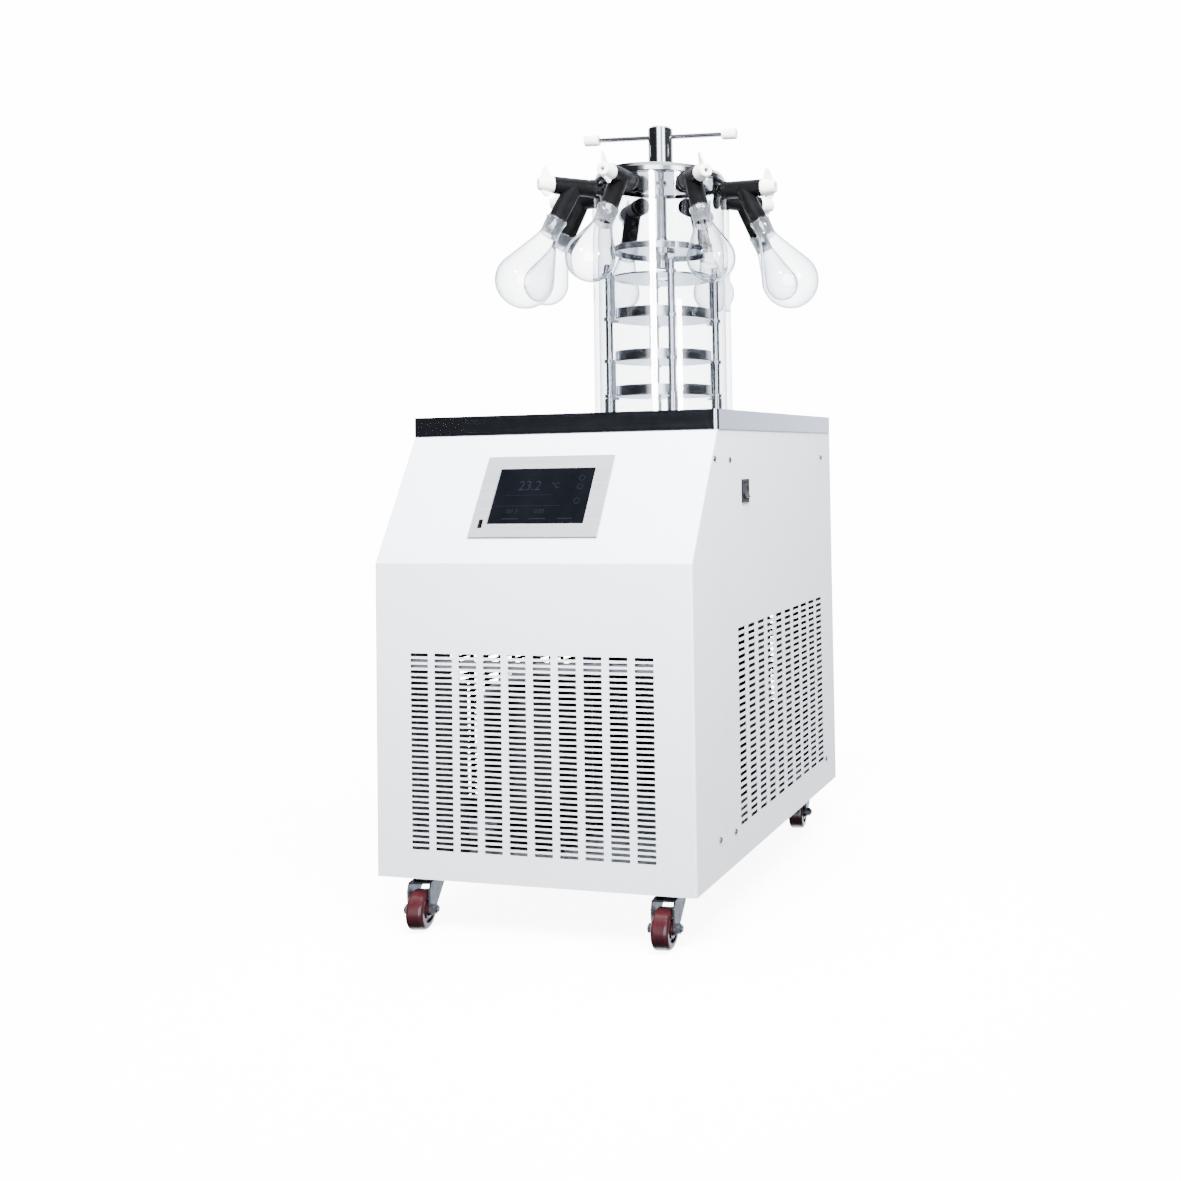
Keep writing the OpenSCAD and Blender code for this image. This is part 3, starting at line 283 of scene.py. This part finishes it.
key = soft_lamp("key", turn=2, distance=1.4, size=(1.8, 0.5), radiance=104, height=1.85)
key.visible_glossy = False
back_fill = soft_lamp("back_fill", turn=176, distance=2.4, size=(2.2, 1.2), radiance=26, height=1.5)
back_fill.visible_glossy = False
back_fill.visible_transmission = False


# ---- Frame ----
# Angle posts and rails with a base tray, welded from mild steel. They carry everything else.
# They are sprayed with a grey stoving paint, which is a little cloudy.
def add_noise(tree, scale, detail=3, stretch=(1, 1, 1)):
    """A noise pattern on the object's own coordinates; the scale is in cycles a metre."""
    coords = tree.nodes.new("ShaderNodeTexCoord")
    mapping = tree.nodes.new("ShaderNodeMapping")
    mapping.vector_type = "TEXTURE"
    mapping.inputs["Scale"].default_value = [1 / part for part in stretch]
    noise = tree.nodes.new("ShaderNodeTexNoise")
    noise.inputs["Scale"].default_value = scale
    noise.inputs["Detail"].default_value = detail
    tree.links.new(coords.outputs["Object"], mapping.inputs["Vector"])
    tree.links.new(mapping.outputs["Vector"], noise.inputs["Vector"])
    return noise.outputs["Fac"]


def tint(tree, value, dark, light, to_socket, low=0.3, high=0.7):
    """Colours a surface between two shades by a pattern."""
    ramp = tree.nodes.new("ShaderNodeValToRGB")
    ramp.color_ramp.elements[0].position = low
    ramp.color_ramp.elements[1].position = high
    ramp.color_ramp.elements[0].color = (*dark, 1)
    ramp.color_ramp.elements[1].color = (*light, 1)
    tree.links.new(value, ramp.inputs["Fac"])
    tree.links.new(ramp.outputs["Color"], to_socket)


def mottle(tree, shader, scale, dark, light, detail=3):
    """Gives a surface a base colour that wanders between two shades."""
    tint(tree, add_noise(tree, scale, detail), dark, light, shader.inputs["Base Color"])


def finish(material, *names):
    """Gives CAD nodes their material."""
    for name in names:
        mesh = nodes[name].data
        mesh.materials.clear()
        mesh.materials.append(material)


frame_paint, tree, shader = new_material("frame_paint", roughness=0.5)
mottle(tree, shader, scale=14, dark=(0.17, 0.185, 0.215), light=(0.22, 0.235, 0.265))
finish(frame_paint, "chassis")


# ---- Casters ----
# Four swivelling casters are bolted under the frame's corners. Each has a dark plate with its ball
# race, a pressed fork, zinc-plated, and a moulded polyurethane wheel, maroon and slightly glossy.
def roughen(tree, shader, pattern, low, high):
    """Makes a surface's gloss wander with a pattern."""
    tree.links.new(remap(tree, pattern, 0.3, 0.7, low, high), shader.inputs["Roughness"])


fork_steel, tree, shader = new_material("fork_steel", metallic=0.5, roughness=0.38)
mottle(tree, shader, scale=140, dark=(0.05, 0.054, 0.066), light=(0.08, 0.086, 0.1))
roughen(tree, shader, add_noise(tree, scale=90, detail=4), low=0.28, high=0.42)
finish(fork_steel, *[f"caster_fork_{i}" for i in range(1, 5)])

dark_plate, tree, shader = new_material("dark_plate", metallic=0.8, roughness=0.4)
mottle(tree, shader, scale=90, dark=(0.012, 0.012, 0.014), light=(0.025, 0.025, 0.028))
finish(dark_plate, "caster_plates")

tread, tree, shader = new_material("tread", roughness=0.3, coat_weight=0.3)
mottle(tree, shader, scale=120, dark=(0.022, 0.0045, 0.006), light=(0.036, 0.007, 0.009))
finish(tread, *[f"caster_wheel_{i}" for i in range(1, 5)])


# ---- Refrigeration and electrics ----
# Seen only through the grilles: an enamelled compressor, fan motor and control box, a condenser with
# near-black fins, lines in dark foam sleeves, and the moulded foam jacket of the cold trap. Their dark
# colours are partly their own finish and partly painted shade for the dark inside of the cabinet.
# Painted shade in part: these near-black colours also stand in for the dark inside of the cabinet.
enamel, tree, shader = new_material("black_enamel", roughness=0.35)
mottle(tree, shader, scale=40, dark=(0.012, 0.012, 0.013), light=(0.025, 0.025, 0.027))
finish(enamel, "compressor", "fan_motor", "control_box")

fin_metal, tree, shader = new_material("fin_metal", metallic=0.3, roughness=0.6)
mottle(tree, shader, scale=60, dark=(0.006, 0.0065, 0.007), light=(0.014, 0.0145, 0.016))
finish(fin_metal, "condenser")

foam, tree, shader = new_material("foam", roughness=0.85)
mottle(tree, shader, scale=40, detail=4, dark=(0.05, 0.05, 0.05), light=(0.08, 0.08, 0.08))
finish(foam, "trap_insulation")

line_cover, tree, shader = new_material("line_cover", roughness=0.7)
mottle(tree, shader, scale=50, dark=(0.015, 0.016, 0.018), light=(0.03, 0.032, 0.036))
finish(line_cover, "refrigerant_lines")


# ---- Sheet-steel cabinet ----
# The front cover, two side panels and rear panel are folded sheet with punched slots, screwed to the
# frame. They are powder-coated a cool white with a very fine orange peel. The inside faces and the
# slots' level faces are painted near-black instead, as painted shade for the dark inside of the cabinet.
# Painted shade: a near-black colour for the sheet's inside faces and the slots' level faces.
painted_shade_colour = (0.006, 0.0065, 0.0075)


def dimple(tree, shader, pattern, strength, depth):
    """Bumps a surface by a pattern; the depth is in metres."""
    bump = tree.nodes.new("ShaderNodeBump")
    bump.inputs["Strength"].default_value = strength
    bump.inputs["Distance"].default_value = depth
    tree.links.new(pattern, bump.inputs["Height"])
    tree.links.new(bump.outputs["Normal"], shader.inputs["Normal"])


powder_coat, tree, shader = new_material(
    "powder_coat", roughness=0.36, specular_ior_level=0.5, coat_weight=0.15, coat_roughness=0.25)
surface = tree.nodes.new("ShaderNodeNewGeometry")
coords = tree.nodes.new("ShaderNodeTexCoord")
outward = tree.nodes.new("ShaderNodeVectorMath")
outward.operation = "DOT_PRODUCT"
tree.links.new(surface.outputs["Normal"], outward.inputs[0])
tree.links.new(coords.outputs["Object"], outward.inputs[1])
upright = tree.nodes.new("ShaderNodeSeparateXYZ")
tree.links.new(surface.outputs["Normal"], upright.inputs["Vector"])
level = tree.nodes.new("ShaderNodeMath")
level.operation = "ABSOLUTE"
tree.links.new(upright.outputs["Z"], level.inputs[0])
# The coat shows on outward faces that are not level; everywhere else gets the painted shade.
coat_not_shade = tree.nodes.new("ShaderNodeMath")
coat_not_shade.operation = "MULTIPLY"
tree.links.new(remap(tree, outward.outputs["Value"], -0.1, -0.02, 0, 1), coat_not_shade.inputs[0])
tree.links.new(remap(tree, level.outputs["Value"], 0.9, 0.95, 1, 0), coat_not_shade.inputs[1])
coat_colour = tree.nodes.new("ShaderNodeMix")
coat_colour.data_type = "RGBA"
painted_shade, painted = [socket for socket in coat_colour.inputs if socket.type == "RGBA"]
painted_shade.default_value = (*painted_shade_colour, 1)
tint(tree, add_noise(tree, scale=9, detail=2), dark=(0.75, 0.79, 0.865), light=(0.78, 0.815, 0.89),
     to_socket=painted)
tree.links.new(coat_not_shade.outputs["Value"], coat_colour.inputs["Factor"])
mixed = next(socket for socket in coat_colour.outputs if socket.type == "RGBA")
tree.links.new(mixed, shader.inputs["Base Color"])
roughen(tree, shader, add_noise(tree, scale=60, detail=4), low=0.33, high=0.4)
dimple(tree, shader, add_noise(tree, scale=900, detail=2), strength=0.12, depth=0.0004)
finish(powder_coat, "front_cover", "side_panel_left", "side_panel_right", "rear_panel")


# ---- Screws of the panels ----
# Pan-head screws with a cross recess, cold-headed and zinc-plated, all alike. They hold the cover and
# panels to the frame, with their heads on the painted sheet.
zinc, tree, shader = new_material("zinc", metallic=1.0, roughness=0.3)
mottle(tree, shader, scale=180, dark=(0.22, 0.23, 0.25), light=(0.36, 0.37, 0.39))
roughen(tree, shader, add_noise(tree, scale=90, detail=4), low=0.24, high=0.4)
finish(zinc, "panel_screws")


# ---- Deck ----
# The deck is one shallow pan of brushed stainless steel, folded down on its four sides and laid over
# the cabinet's top. The brushing runs across the machine.
deck_steel, tree, shader = new_material("deck_steel", metallic=1.0, roughness=0.2)
brushing = add_noise(tree, scale=1, detail=4, stretch=(6, 900, 900))
tint(tree, brushing, dark=(0.54, 0.57, 0.63), light=(0.64, 0.67, 0.73),
     to_socket=shader.inputs["Base Color"])
roughen(tree, shader, brushing, low=0.1, high=0.17)
finish(deck_steel, "top_plate")


# ---- Display ----
# A brushed aluminium surround on the sloping front holds a touch screen of black glass. The readout
# shows dimly: a temperature, a pressure and a time, fine rules, and rings for the buttons.
readout_deep = 0.00004
readout_proud = 0.0001
glass_skin = 0.0002
rule_high = 0.0006
readout_figures = [("23.2", -0.022, 0.009, 0.021), ("\u00b0C", 0.018, 0.012, 0.012),
                   ("101.3", -0.041, -0.026, 0.009), ("0:00", 0.002, -0.026, 0.009)]
readout_bars = [(-0.02, 0.0015, 0.072, rule_high), (-0.02, -0.015, 0.104, rule_high),
                (-0.041, -0.0345, 0.026, 0.0016), (0.002, -0.0345, 0.026, 0.0016),
                (0.044, -0.0345, 0.022, 0.0016)]
ring_across = 0.056
ring_heights = (0.027, 0.014, -0.008)
ring_r = 0.0045
ring_bore = 0.76

bezel_metal, tree, shader = new_material("bezel_metal", metallic=0.4, roughness=0.34)
brushing = add_noise(tree, scale=1, detail=4, stretch=(10, 1400, 1400))
tint(tree, brushing, dark=(0.27, 0.285, 0.32), light=(0.42, 0.44, 0.475),
     to_socket=shader.inputs["Base Color"])
roughen(tree, shader, brushing, low=0.28, high=0.42)
finish(bezel_metal, "screen_bezel")

screen_glass, tree, shader = new_material("screen_glass", roughness=0.08, coat_weight=0.3)
mottle(tree, shader, scale=30, detail=2,
       dark=(0.0016, 0.0019, 0.0028), light=(0.0024, 0.0028, 0.004))
finish(screen_glass, "touch_screen")

readout_light, tree, shader = new_material(
    "readout_light", roughness=0.3, emission_color=(0.3, 0.4, 0.55), emission_strength=0.03)
mottle(tree, shader, scale=400, detail=2,
       dark=(0.003, 0.0036, 0.005), light=(0.0045, 0.0054, 0.007))


def thicken_mark():
    """Draws the selected flat faces up to the readout's depth, and closes the shape."""
    bpy.ops.mesh.extrude_region_move(TRANSFORM_OT_translate={"value": (0, 0, readout_deep)})
    bpy.ops.mesh.select_all(action="SELECT")
    bpy.ops.mesh.normals_make_consistent(inside=False)
    bpy.ops.object.mode_set(mode="OBJECT")
    return bpy.context.object


marks = []
for figures, across, up, size in readout_figures:
    deselect()
    bpy.ops.object.text_add(location=(across, up, 0))
    mark = bpy.context.object
    mark.data.body = figures
    mark.data.size = size
    mark.data.extrude = readout_deep
    mark.data.align_x = "CENTER"
    bpy.ops.object.convert(target="MESH")
    marks.append(mark)
for across, up, wide, high in readout_bars:
    deselect()
    bpy.ops.mesh.primitive_plane_add(size=1, location=(across, up, 0))
    bpy.ops.object.mode_set(mode="EDIT")
    bpy.ops.transform.resize(value=(wide, high, 1), center_override=(across, up, 0))
    marks.append(thicken_mark())
for up in ring_heights:
    deselect()
    bpy.ops.mesh.primitive_circle_add(vertices=32, radius=ring_r, location=(ring_across, up, 0))
    bpy.ops.object.mode_set(mode="EDIT")
    bpy.ops.mesh.select_all(action="SELECT")
    bpy.ops.mesh.extrude_edges_move()
    bpy.ops.transform.resize(value=(ring_bore, ring_bore, 1), center_override=(ring_across, up, 0))
    bpy.ops.mesh.select_all(action="SELECT")
    marks.append(thicken_mark())
deselect()
for mark in marks:
    mark.select_set(True)
bpy.context.view_layer.objects.active = marks[0]
bpy.ops.object.join()
readout = bpy.context.object
readout.name = "screen_readout"
bpy.ops.object.transform_apply(location=True, rotation=True, scale=True)
readout.data.materials.clear()
readout.data.materials.append(readout_light)

glass = nodes["touch_screen"].data
slope_faces = [face for face in glass.polygons if face.normal.z > 0.1]
slope_out = max(slope_faces, key=lambda face: face.area * face.normal.z).normal.copy()
slope_up = slope_out.cross(Vector((1, 0, 0)))
outmost = max(vertex.co.dot(slope_out) for vertex in glass.vertices)
glass_front = [vertex.co for vertex in glass.vertices
               if vertex.co.dot(slope_out) > outmost - glass_skin]
glass_middle = sum(glass_front, Vector()) / len(glass_front)
slope_turn = Matrix((Vector((1, 0, 0)), slope_up, slope_out)).transposed().to_4x4()


def place(piece, matrix):
    """Puts a finished piece where it belongs and leaves its object at the origin."""
    piece.matrix_world = matrix
    deselect()
    piece.select_set(True)
    bpy.context.view_layer.objects.active = piece
    bpy.ops.object.transform_apply(location=True, rotation=True, scale=True)


place(readout, Matrix.Translation(glass_middle + slope_out * readout_proud) @ slope_turn)
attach(readout, "cabinet")


# ---- Black plastic ----
# The data socket in the display's surround, the mains rocker in its frame, the mains inlet at the
# back and the fan's rotor. All are moulded nylon with a fine spark texture.
black_plastic, tree, shader = new_material("black_plastic", roughness=0.42, specular_ior_level=0.22)
mottle(tree, shader, scale=220, dark=(0.004, 0.004, 0.0045), light=(0.008, 0.008, 0.009))
dimple(tree, shader, add_noise(tree, scale=2200, detail=2), strength=0.2, depth=0.0002)
finish(black_plastic, "usb_socket", "switch_housing", "switch_rocker", "mains_inlet", "fan_rotor")


# ---- Drain valve ----
# A small ball valve on the rear panel empties the cold trap. Its body is turned from brass bar, and
# its pressed lever is dipped in red vinyl.
brass, tree, shader = new_material("brass", metallic=1.0, roughness=0.3)
mottle(tree, shader, scale=120, dark=(0.5, 0.36, 0.13), light=(0.66, 0.5, 0.22))
finish(brass, "drain_valve")

lever_red, tree, shader = new_material("lever_red", roughness=0.35)
mottle(tree, shader, scale=80, detail=2, dark=(0.36, 0.012, 0.012), light=(0.44, 0.02, 0.02))
finish(lever_red, "drain_lever")


# ---- Polished steel: trap, port, rack, lid and press ----
# Turned, spun and pressed stainless steel, polished all over, with fine level tool marks. The rack's
# rods stand on the deck and carry the shelves and trays, and the press hangs from the lid.
polished, tree, shader = new_material("polished_steel", metallic=1.0, roughness=0.12)
tool_marks = add_noise(tree, scale=1, stretch=(3, 3, 1500))
tint(tree, tool_marks, dark=(0.62, 0.63, 0.65), light=(0.74, 0.75, 0.77),
     to_socket=shader.inputs["Base Color"])
roughen(tree, shader, tool_marks, low=0.05, high=0.11)
finish(polished, "lid", "press_hub", "handle_bar", "press_screw", "press_nut", "press_plate",
       "rack_rods", "shelf_1", "shelf_2", "shelf_3", "shelf_4", "tray_2", "tray_3", "tray_4",
       "cold_trap", "vacuum_port")


# ---- Clear tube ----
# The chamber's wall is one length of cast acrylic tube, with polished ends and a port bored for each
# valve. It stands on the lower seal and carries the lid. Two strip lamps draw the streaks on it.
def glass_edge_shade(tree, shader, blend, face, edge_shade):
    """Tints a clear wall grey, deeper where it is seen edge on and the light goes a longer way through; most of it
    is painted shade for real glass's dark outlines.
    """
    weight = tree.nodes.new("ShaderNodeLayerWeight")
    weight.inputs["Blend"].default_value = blend
    tint(tree, weight.outputs["Facing"], face, edge_shade, to_socket=shader.inputs["Base Color"],
         low=0.1, high=0.95)


acrylic, tree, shader = new_material(
    "acrylic", transmission_weight=1.0, ior=1.01, roughness=0.0,
    coat_weight=1.0, coat_roughness=0.0, coat_ior=1.49)
# Painted shade: the tube's wall darkens where it is seen edge on, for the grey bands at its sides.
glass_edge_shade(tree, shader, blend=0.35, face=(0.80, 0.815, 0.83), edge_shade=(0.6, 0.62, 0.65))
finish(acrylic, "chamber_tube")
tube = [nodes["chamber_tube"]]
soft_lamp("tube_strip_left", turn=-15, distance=2.6, size=(0.44, 3.0), radiance=300, height=0.95,
          only_on=tube)
soft_lamp("tube_strip_right", turn=26, distance=2.6, size=(0.4, 3.0), radiance=260, height=0.95,
          only_on=tube)


# ---- Rubber: valves and seals ----
# The eight valve bodies are moulded black rubber and are pushed into the tube's ports. The two ring
# seals at the tube's ends are of the same rubber, which is satin and has a dusty bloom.
black_rubber, tree, shader = new_material("black_rubber", roughness=0.55, specular_ior_level=0.14)
mottle(tree, shader, scale=70, detail=4,
       dark=(0.0018, 0.0018, 0.0021), light=(0.0032, 0.0032, 0.0036))
roughen(tree, shader, add_noise(tree, scale=40), low=0.38, high=0.52)
finish(black_rubber, "valve_bodies", "seal_rings")


# ---- White knobs and caps ----
# The stopcock knobs turn in the rubber valves, and two caps are pushed onto the cross bar's ends.
# All are glossy moulded plastic with slight flow marks.
white_plastic, tree, shader = new_material(
    "white_plastic", roughness=0.28, subsurface_weight=0.1, subsurface_scale=0.004)
mottle(tree, shader, scale=60, detail=2, dark=(0.82, 0.83, 0.84), light=(0.87, 0.88, 0.885))
finish(white_plastic, "bar_caps", *[f"valve_knob_{i}" for i in range(1, 9)])


# ---- Flasks ----
# Eight blown borosilicate flasks of several sizes hang on the valves by ground sockets. Each is drawn
# from a rolled rim through the socket, ground inside, and a straight shoulder into a round bulb. Two
# small lamps and a soft box give the glass its glints.
openings = {opening["name"]: [Vector(corner) for corner in opening["box_m"]]
            for opening in frame["record"]["physics"]["openings"]}
glass_wall = 0.0018
rim_l = 0.0045
rim_roll = 0.0011
rim_in = 0.0004
ground_from = 0.4 * rim_l
socket_r = 0.0164
socket_low_r = 0.0148
socket_flare = 0.0003
socket_l = 0.032
throat_above = 0.006
throat_reach = 0.3
throat_steps = 8
shoulder_steps = 4
bulb_steps = 26
bulb_limit = 0.06
mouth_above = 0.0355

flask_glass, tree, shader = new_material(
    "flask_glass", transmission_weight=1.0, ior=1.08, roughness=0.0,
    coat_weight=1.0, coat_roughness=0.0, coat_ior=1.47)
# Painted shade: each flask darkens where its wall is seen edge on, for the outlines of real glass.
glass_edge_shade(tree, shader, blend=0.45, face=(0.88, 0.893, 0.905), edge_shade=(0.45, 0.48, 0.52))

ground_glass, tree, shader = new_material(
    "ground_glass", transmission_weight=0.6, ior=1.3, roughness=0.42)
mottle(tree, shader, scale=300, detail=4, dark=(0.2, 0.225, 0.265), light=(0.32, 0.35, 0.4))
dimple(tree, shader, add_noise(tree, scale=2600), strength=0.25, depth=0.0002)


def middle(name):
    """The centre of one of the record's openings."""
    low, high = openings[name]
    return (low + high) / 2


def flask_outline(bulb_r, bulb_drop):
    """Radius and height of the glass, from its mouth at height 0 down to the foot of the bulb."""
    rim = [(socket_r + rim_roll * math.sin(turn) - rim_in, rim_l / 2 * (math.cos(turn) - 1))
           for turn in (math.radians(step) for step in range(0, 181, 30))]
    reach = bulb_drop - socket_l
    touch = math.atan2(socket_low_r, reach) + math.acos(bulb_r / math.hypot(socket_low_r, reach))
    touching = Vector((bulb_r * math.sin(touch), -bulb_drop + bulb_r * math.cos(touch)))
    start = Vector((socket_low_r + socket_flare, -socket_l + throat_above))
    bend = Vector((socket_low_r, -socket_l))
    end = bend.lerp(touching, throat_reach)
    throat = [start.lerp(bend, share).lerp(bend.lerp(end, share), share)
              for share in (step / throat_steps for step in range(throat_steps + 1))]
    shoulder = [end.lerp(touching, step / shoulder_steps) for step in range(1, shoulder_steps)]
    turns = [touch + (math.pi - touch) * step / bulb_steps for step in range(bulb_steps)]
    bulb = [(bulb_r * math.sin(turn), -bulb_drop + bulb_r * math.cos(turn)) for turn in turns]
    return rim + [tuple(point) for point in throat + shoulder] + bulb


def revolve(name, outline, sides):
    """Draws a ring out and down along an outline, and closes it at the last point."""
    deselect()
    radius, height = outline[0]
    bpy.ops.mesh.primitive_circle_add(vertices=sides, radius=radius, location=(0, 0, 0))
    piece = bpy.context.object
    piece.name = name
    bpy.ops.object.mode_set(mode="EDIT")
    bpy.ops.mesh.select_all(action="SELECT")
    bpy.ops.transform.translate(value=(0, 0, height))
    for next_radius, next_height in outline[1:]:
        drop = (0, 0, next_height - height)
        bpy.ops.mesh.extrude_edges_move(TRANSFORM_OT_translate={"value": drop})
        growth = next_radius / radius
        bpy.ops.transform.resize(value=(growth, growth, 1), center_override=(0, 0, next_height))
        radius, height = next_radius, next_height
    bpy.ops.mesh.merge(type="CENTER")
    bpy.ops.mesh.select_all(action="SELECT")
    bpy.ops.mesh.normals_make_consistent(inside=False)
    bpy.ops.object.mode_set(mode="OBJECT")
    return piece


def facing(direction):
    """Turns a piece's own upward axis into a direction."""
    return direction.to_track_quat("Z", "Y").to_matrix().to_4x4()


flasks = []
for i in range(1, 9):
    centre = middle(f"flask_{i}_bulb")
    neck = middle(f"flask_{i}_neck")
    up = (neck - centre).normalized()
    bulb_drop = (neck - centre).length + mouth_above
    offsets = [vertex.co - centre for vertex in nodes["flasks"].data.vertices]
    bulb_r = max(offset.length for offset in offsets
                 if offset.length < bulb_limit and offset.dot(up) < 0)
    flask = revolve(f"flask_{i}", flask_outline(bulb_r, bulb_drop), sides=72)
    wall = flask.modifiers.new("wall", "SOLIDIFY")
    wall.thickness = glass_wall
    wall.offset = -1
    bpy.ops.object.modifier_apply(modifier=wall.name)
    flask.data.materials.append(flask_glass)
    flask.data.materials.append(ground_glass)
    for face in flask.data.polygons:
        face.use_smooth = True
        faces_in = face.normal.x * face.center.x + face.normal.y * face.center.y < 0
        if faces_in and -socket_l < face.center.z < -ground_from:
            face.material_index = 1
    place(flask, Matrix.Translation(centre + up * bulb_drop) @ facing(up))
    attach(flask, "cabinet")
    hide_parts("flasks")
    flasks.append(flask)
soft_lamp("flask_glint_left", turn=-38, distance=1.5, size=(0.2, 0.2), radiance=900, height=1.6,
          only_on=flasks)
soft_lamp("flask_glint_right", turn=34, distance=1.6, size=(0.16, 0.3), radiance=700, height=1.25,
          only_on=flasks)
soft_lamp("flask_softbox", turn=-6, distance=1.5, size=(1.1, 1.1), radiance=60, height=0.75,
          only_on=flasks)


# ---- Painted shade in the knobs' vents ----
# Each knob's outer end has a vent. A near-black disc, slightly domed, is set down inside it as
# painted shade for the dark inside of the hole.
vent_r = 0.0034
vent_deep = 0.009
shade_disc_lift = 0.0015
shade_disc_outline = [(vent_r - 0.0002, -0.0014), (vent_r, -0.0012), (vent_r, -0.0003),
                  (vent_r - 0.0003, 0), (0.0012, 0.0002)]

# Painted shade: the disc's near-black colour stands in for the shade inside the knob's hole.
painted_vent_shade, tree, shader = new_material("painted_vent_shade", roughness=0.9, sheen_weight=0.2)
mottle(tree, shader, scale=1200, detail=4,
       dark=(0.004, 0.004, 0.0045), light=(0.016, 0.016, 0.018))
dimple(tree, shader, add_noise(tree, scale=2400), strength=0.5, depth=0.0003)

hinges = {joint["name"]: joint for joint in frame["joints"]}
pattern = revolve("vent_shade_disc_1", shade_disc_outline, sides=24)
pattern.data.materials.append(painted_vent_shade)
for face in pattern.data.polygons:
    face.use_smooth = True
discs = [pattern]
for i in range(2, 9):
    disc = pattern.copy()
    disc.data = pattern.data.copy()
    disc.name = f"vent_shade_disc_{i}"
    bpy.context.scene.collection.objects.link(disc)
    discs.append(disc)
for i, disc in enumerate(discs, 1):
    hinge = hinges[f"valve_{i}_turn"]
    start, knob_out = Vector(hinge["pos_m"]), Vector(hinge["axis"]).normalized()
    knob = nodes[f"valve_knob_{i}"].data
    end = max((vertex.co - start).dot(knob_out) for vertex in knob.vertices)
    seat = start + knob_out * (end - vent_deep + shade_disc_lift)
    place(disc, Matrix.Translation(seat) @ facing(knob_out))
    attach(disc, f"knob_{i}")
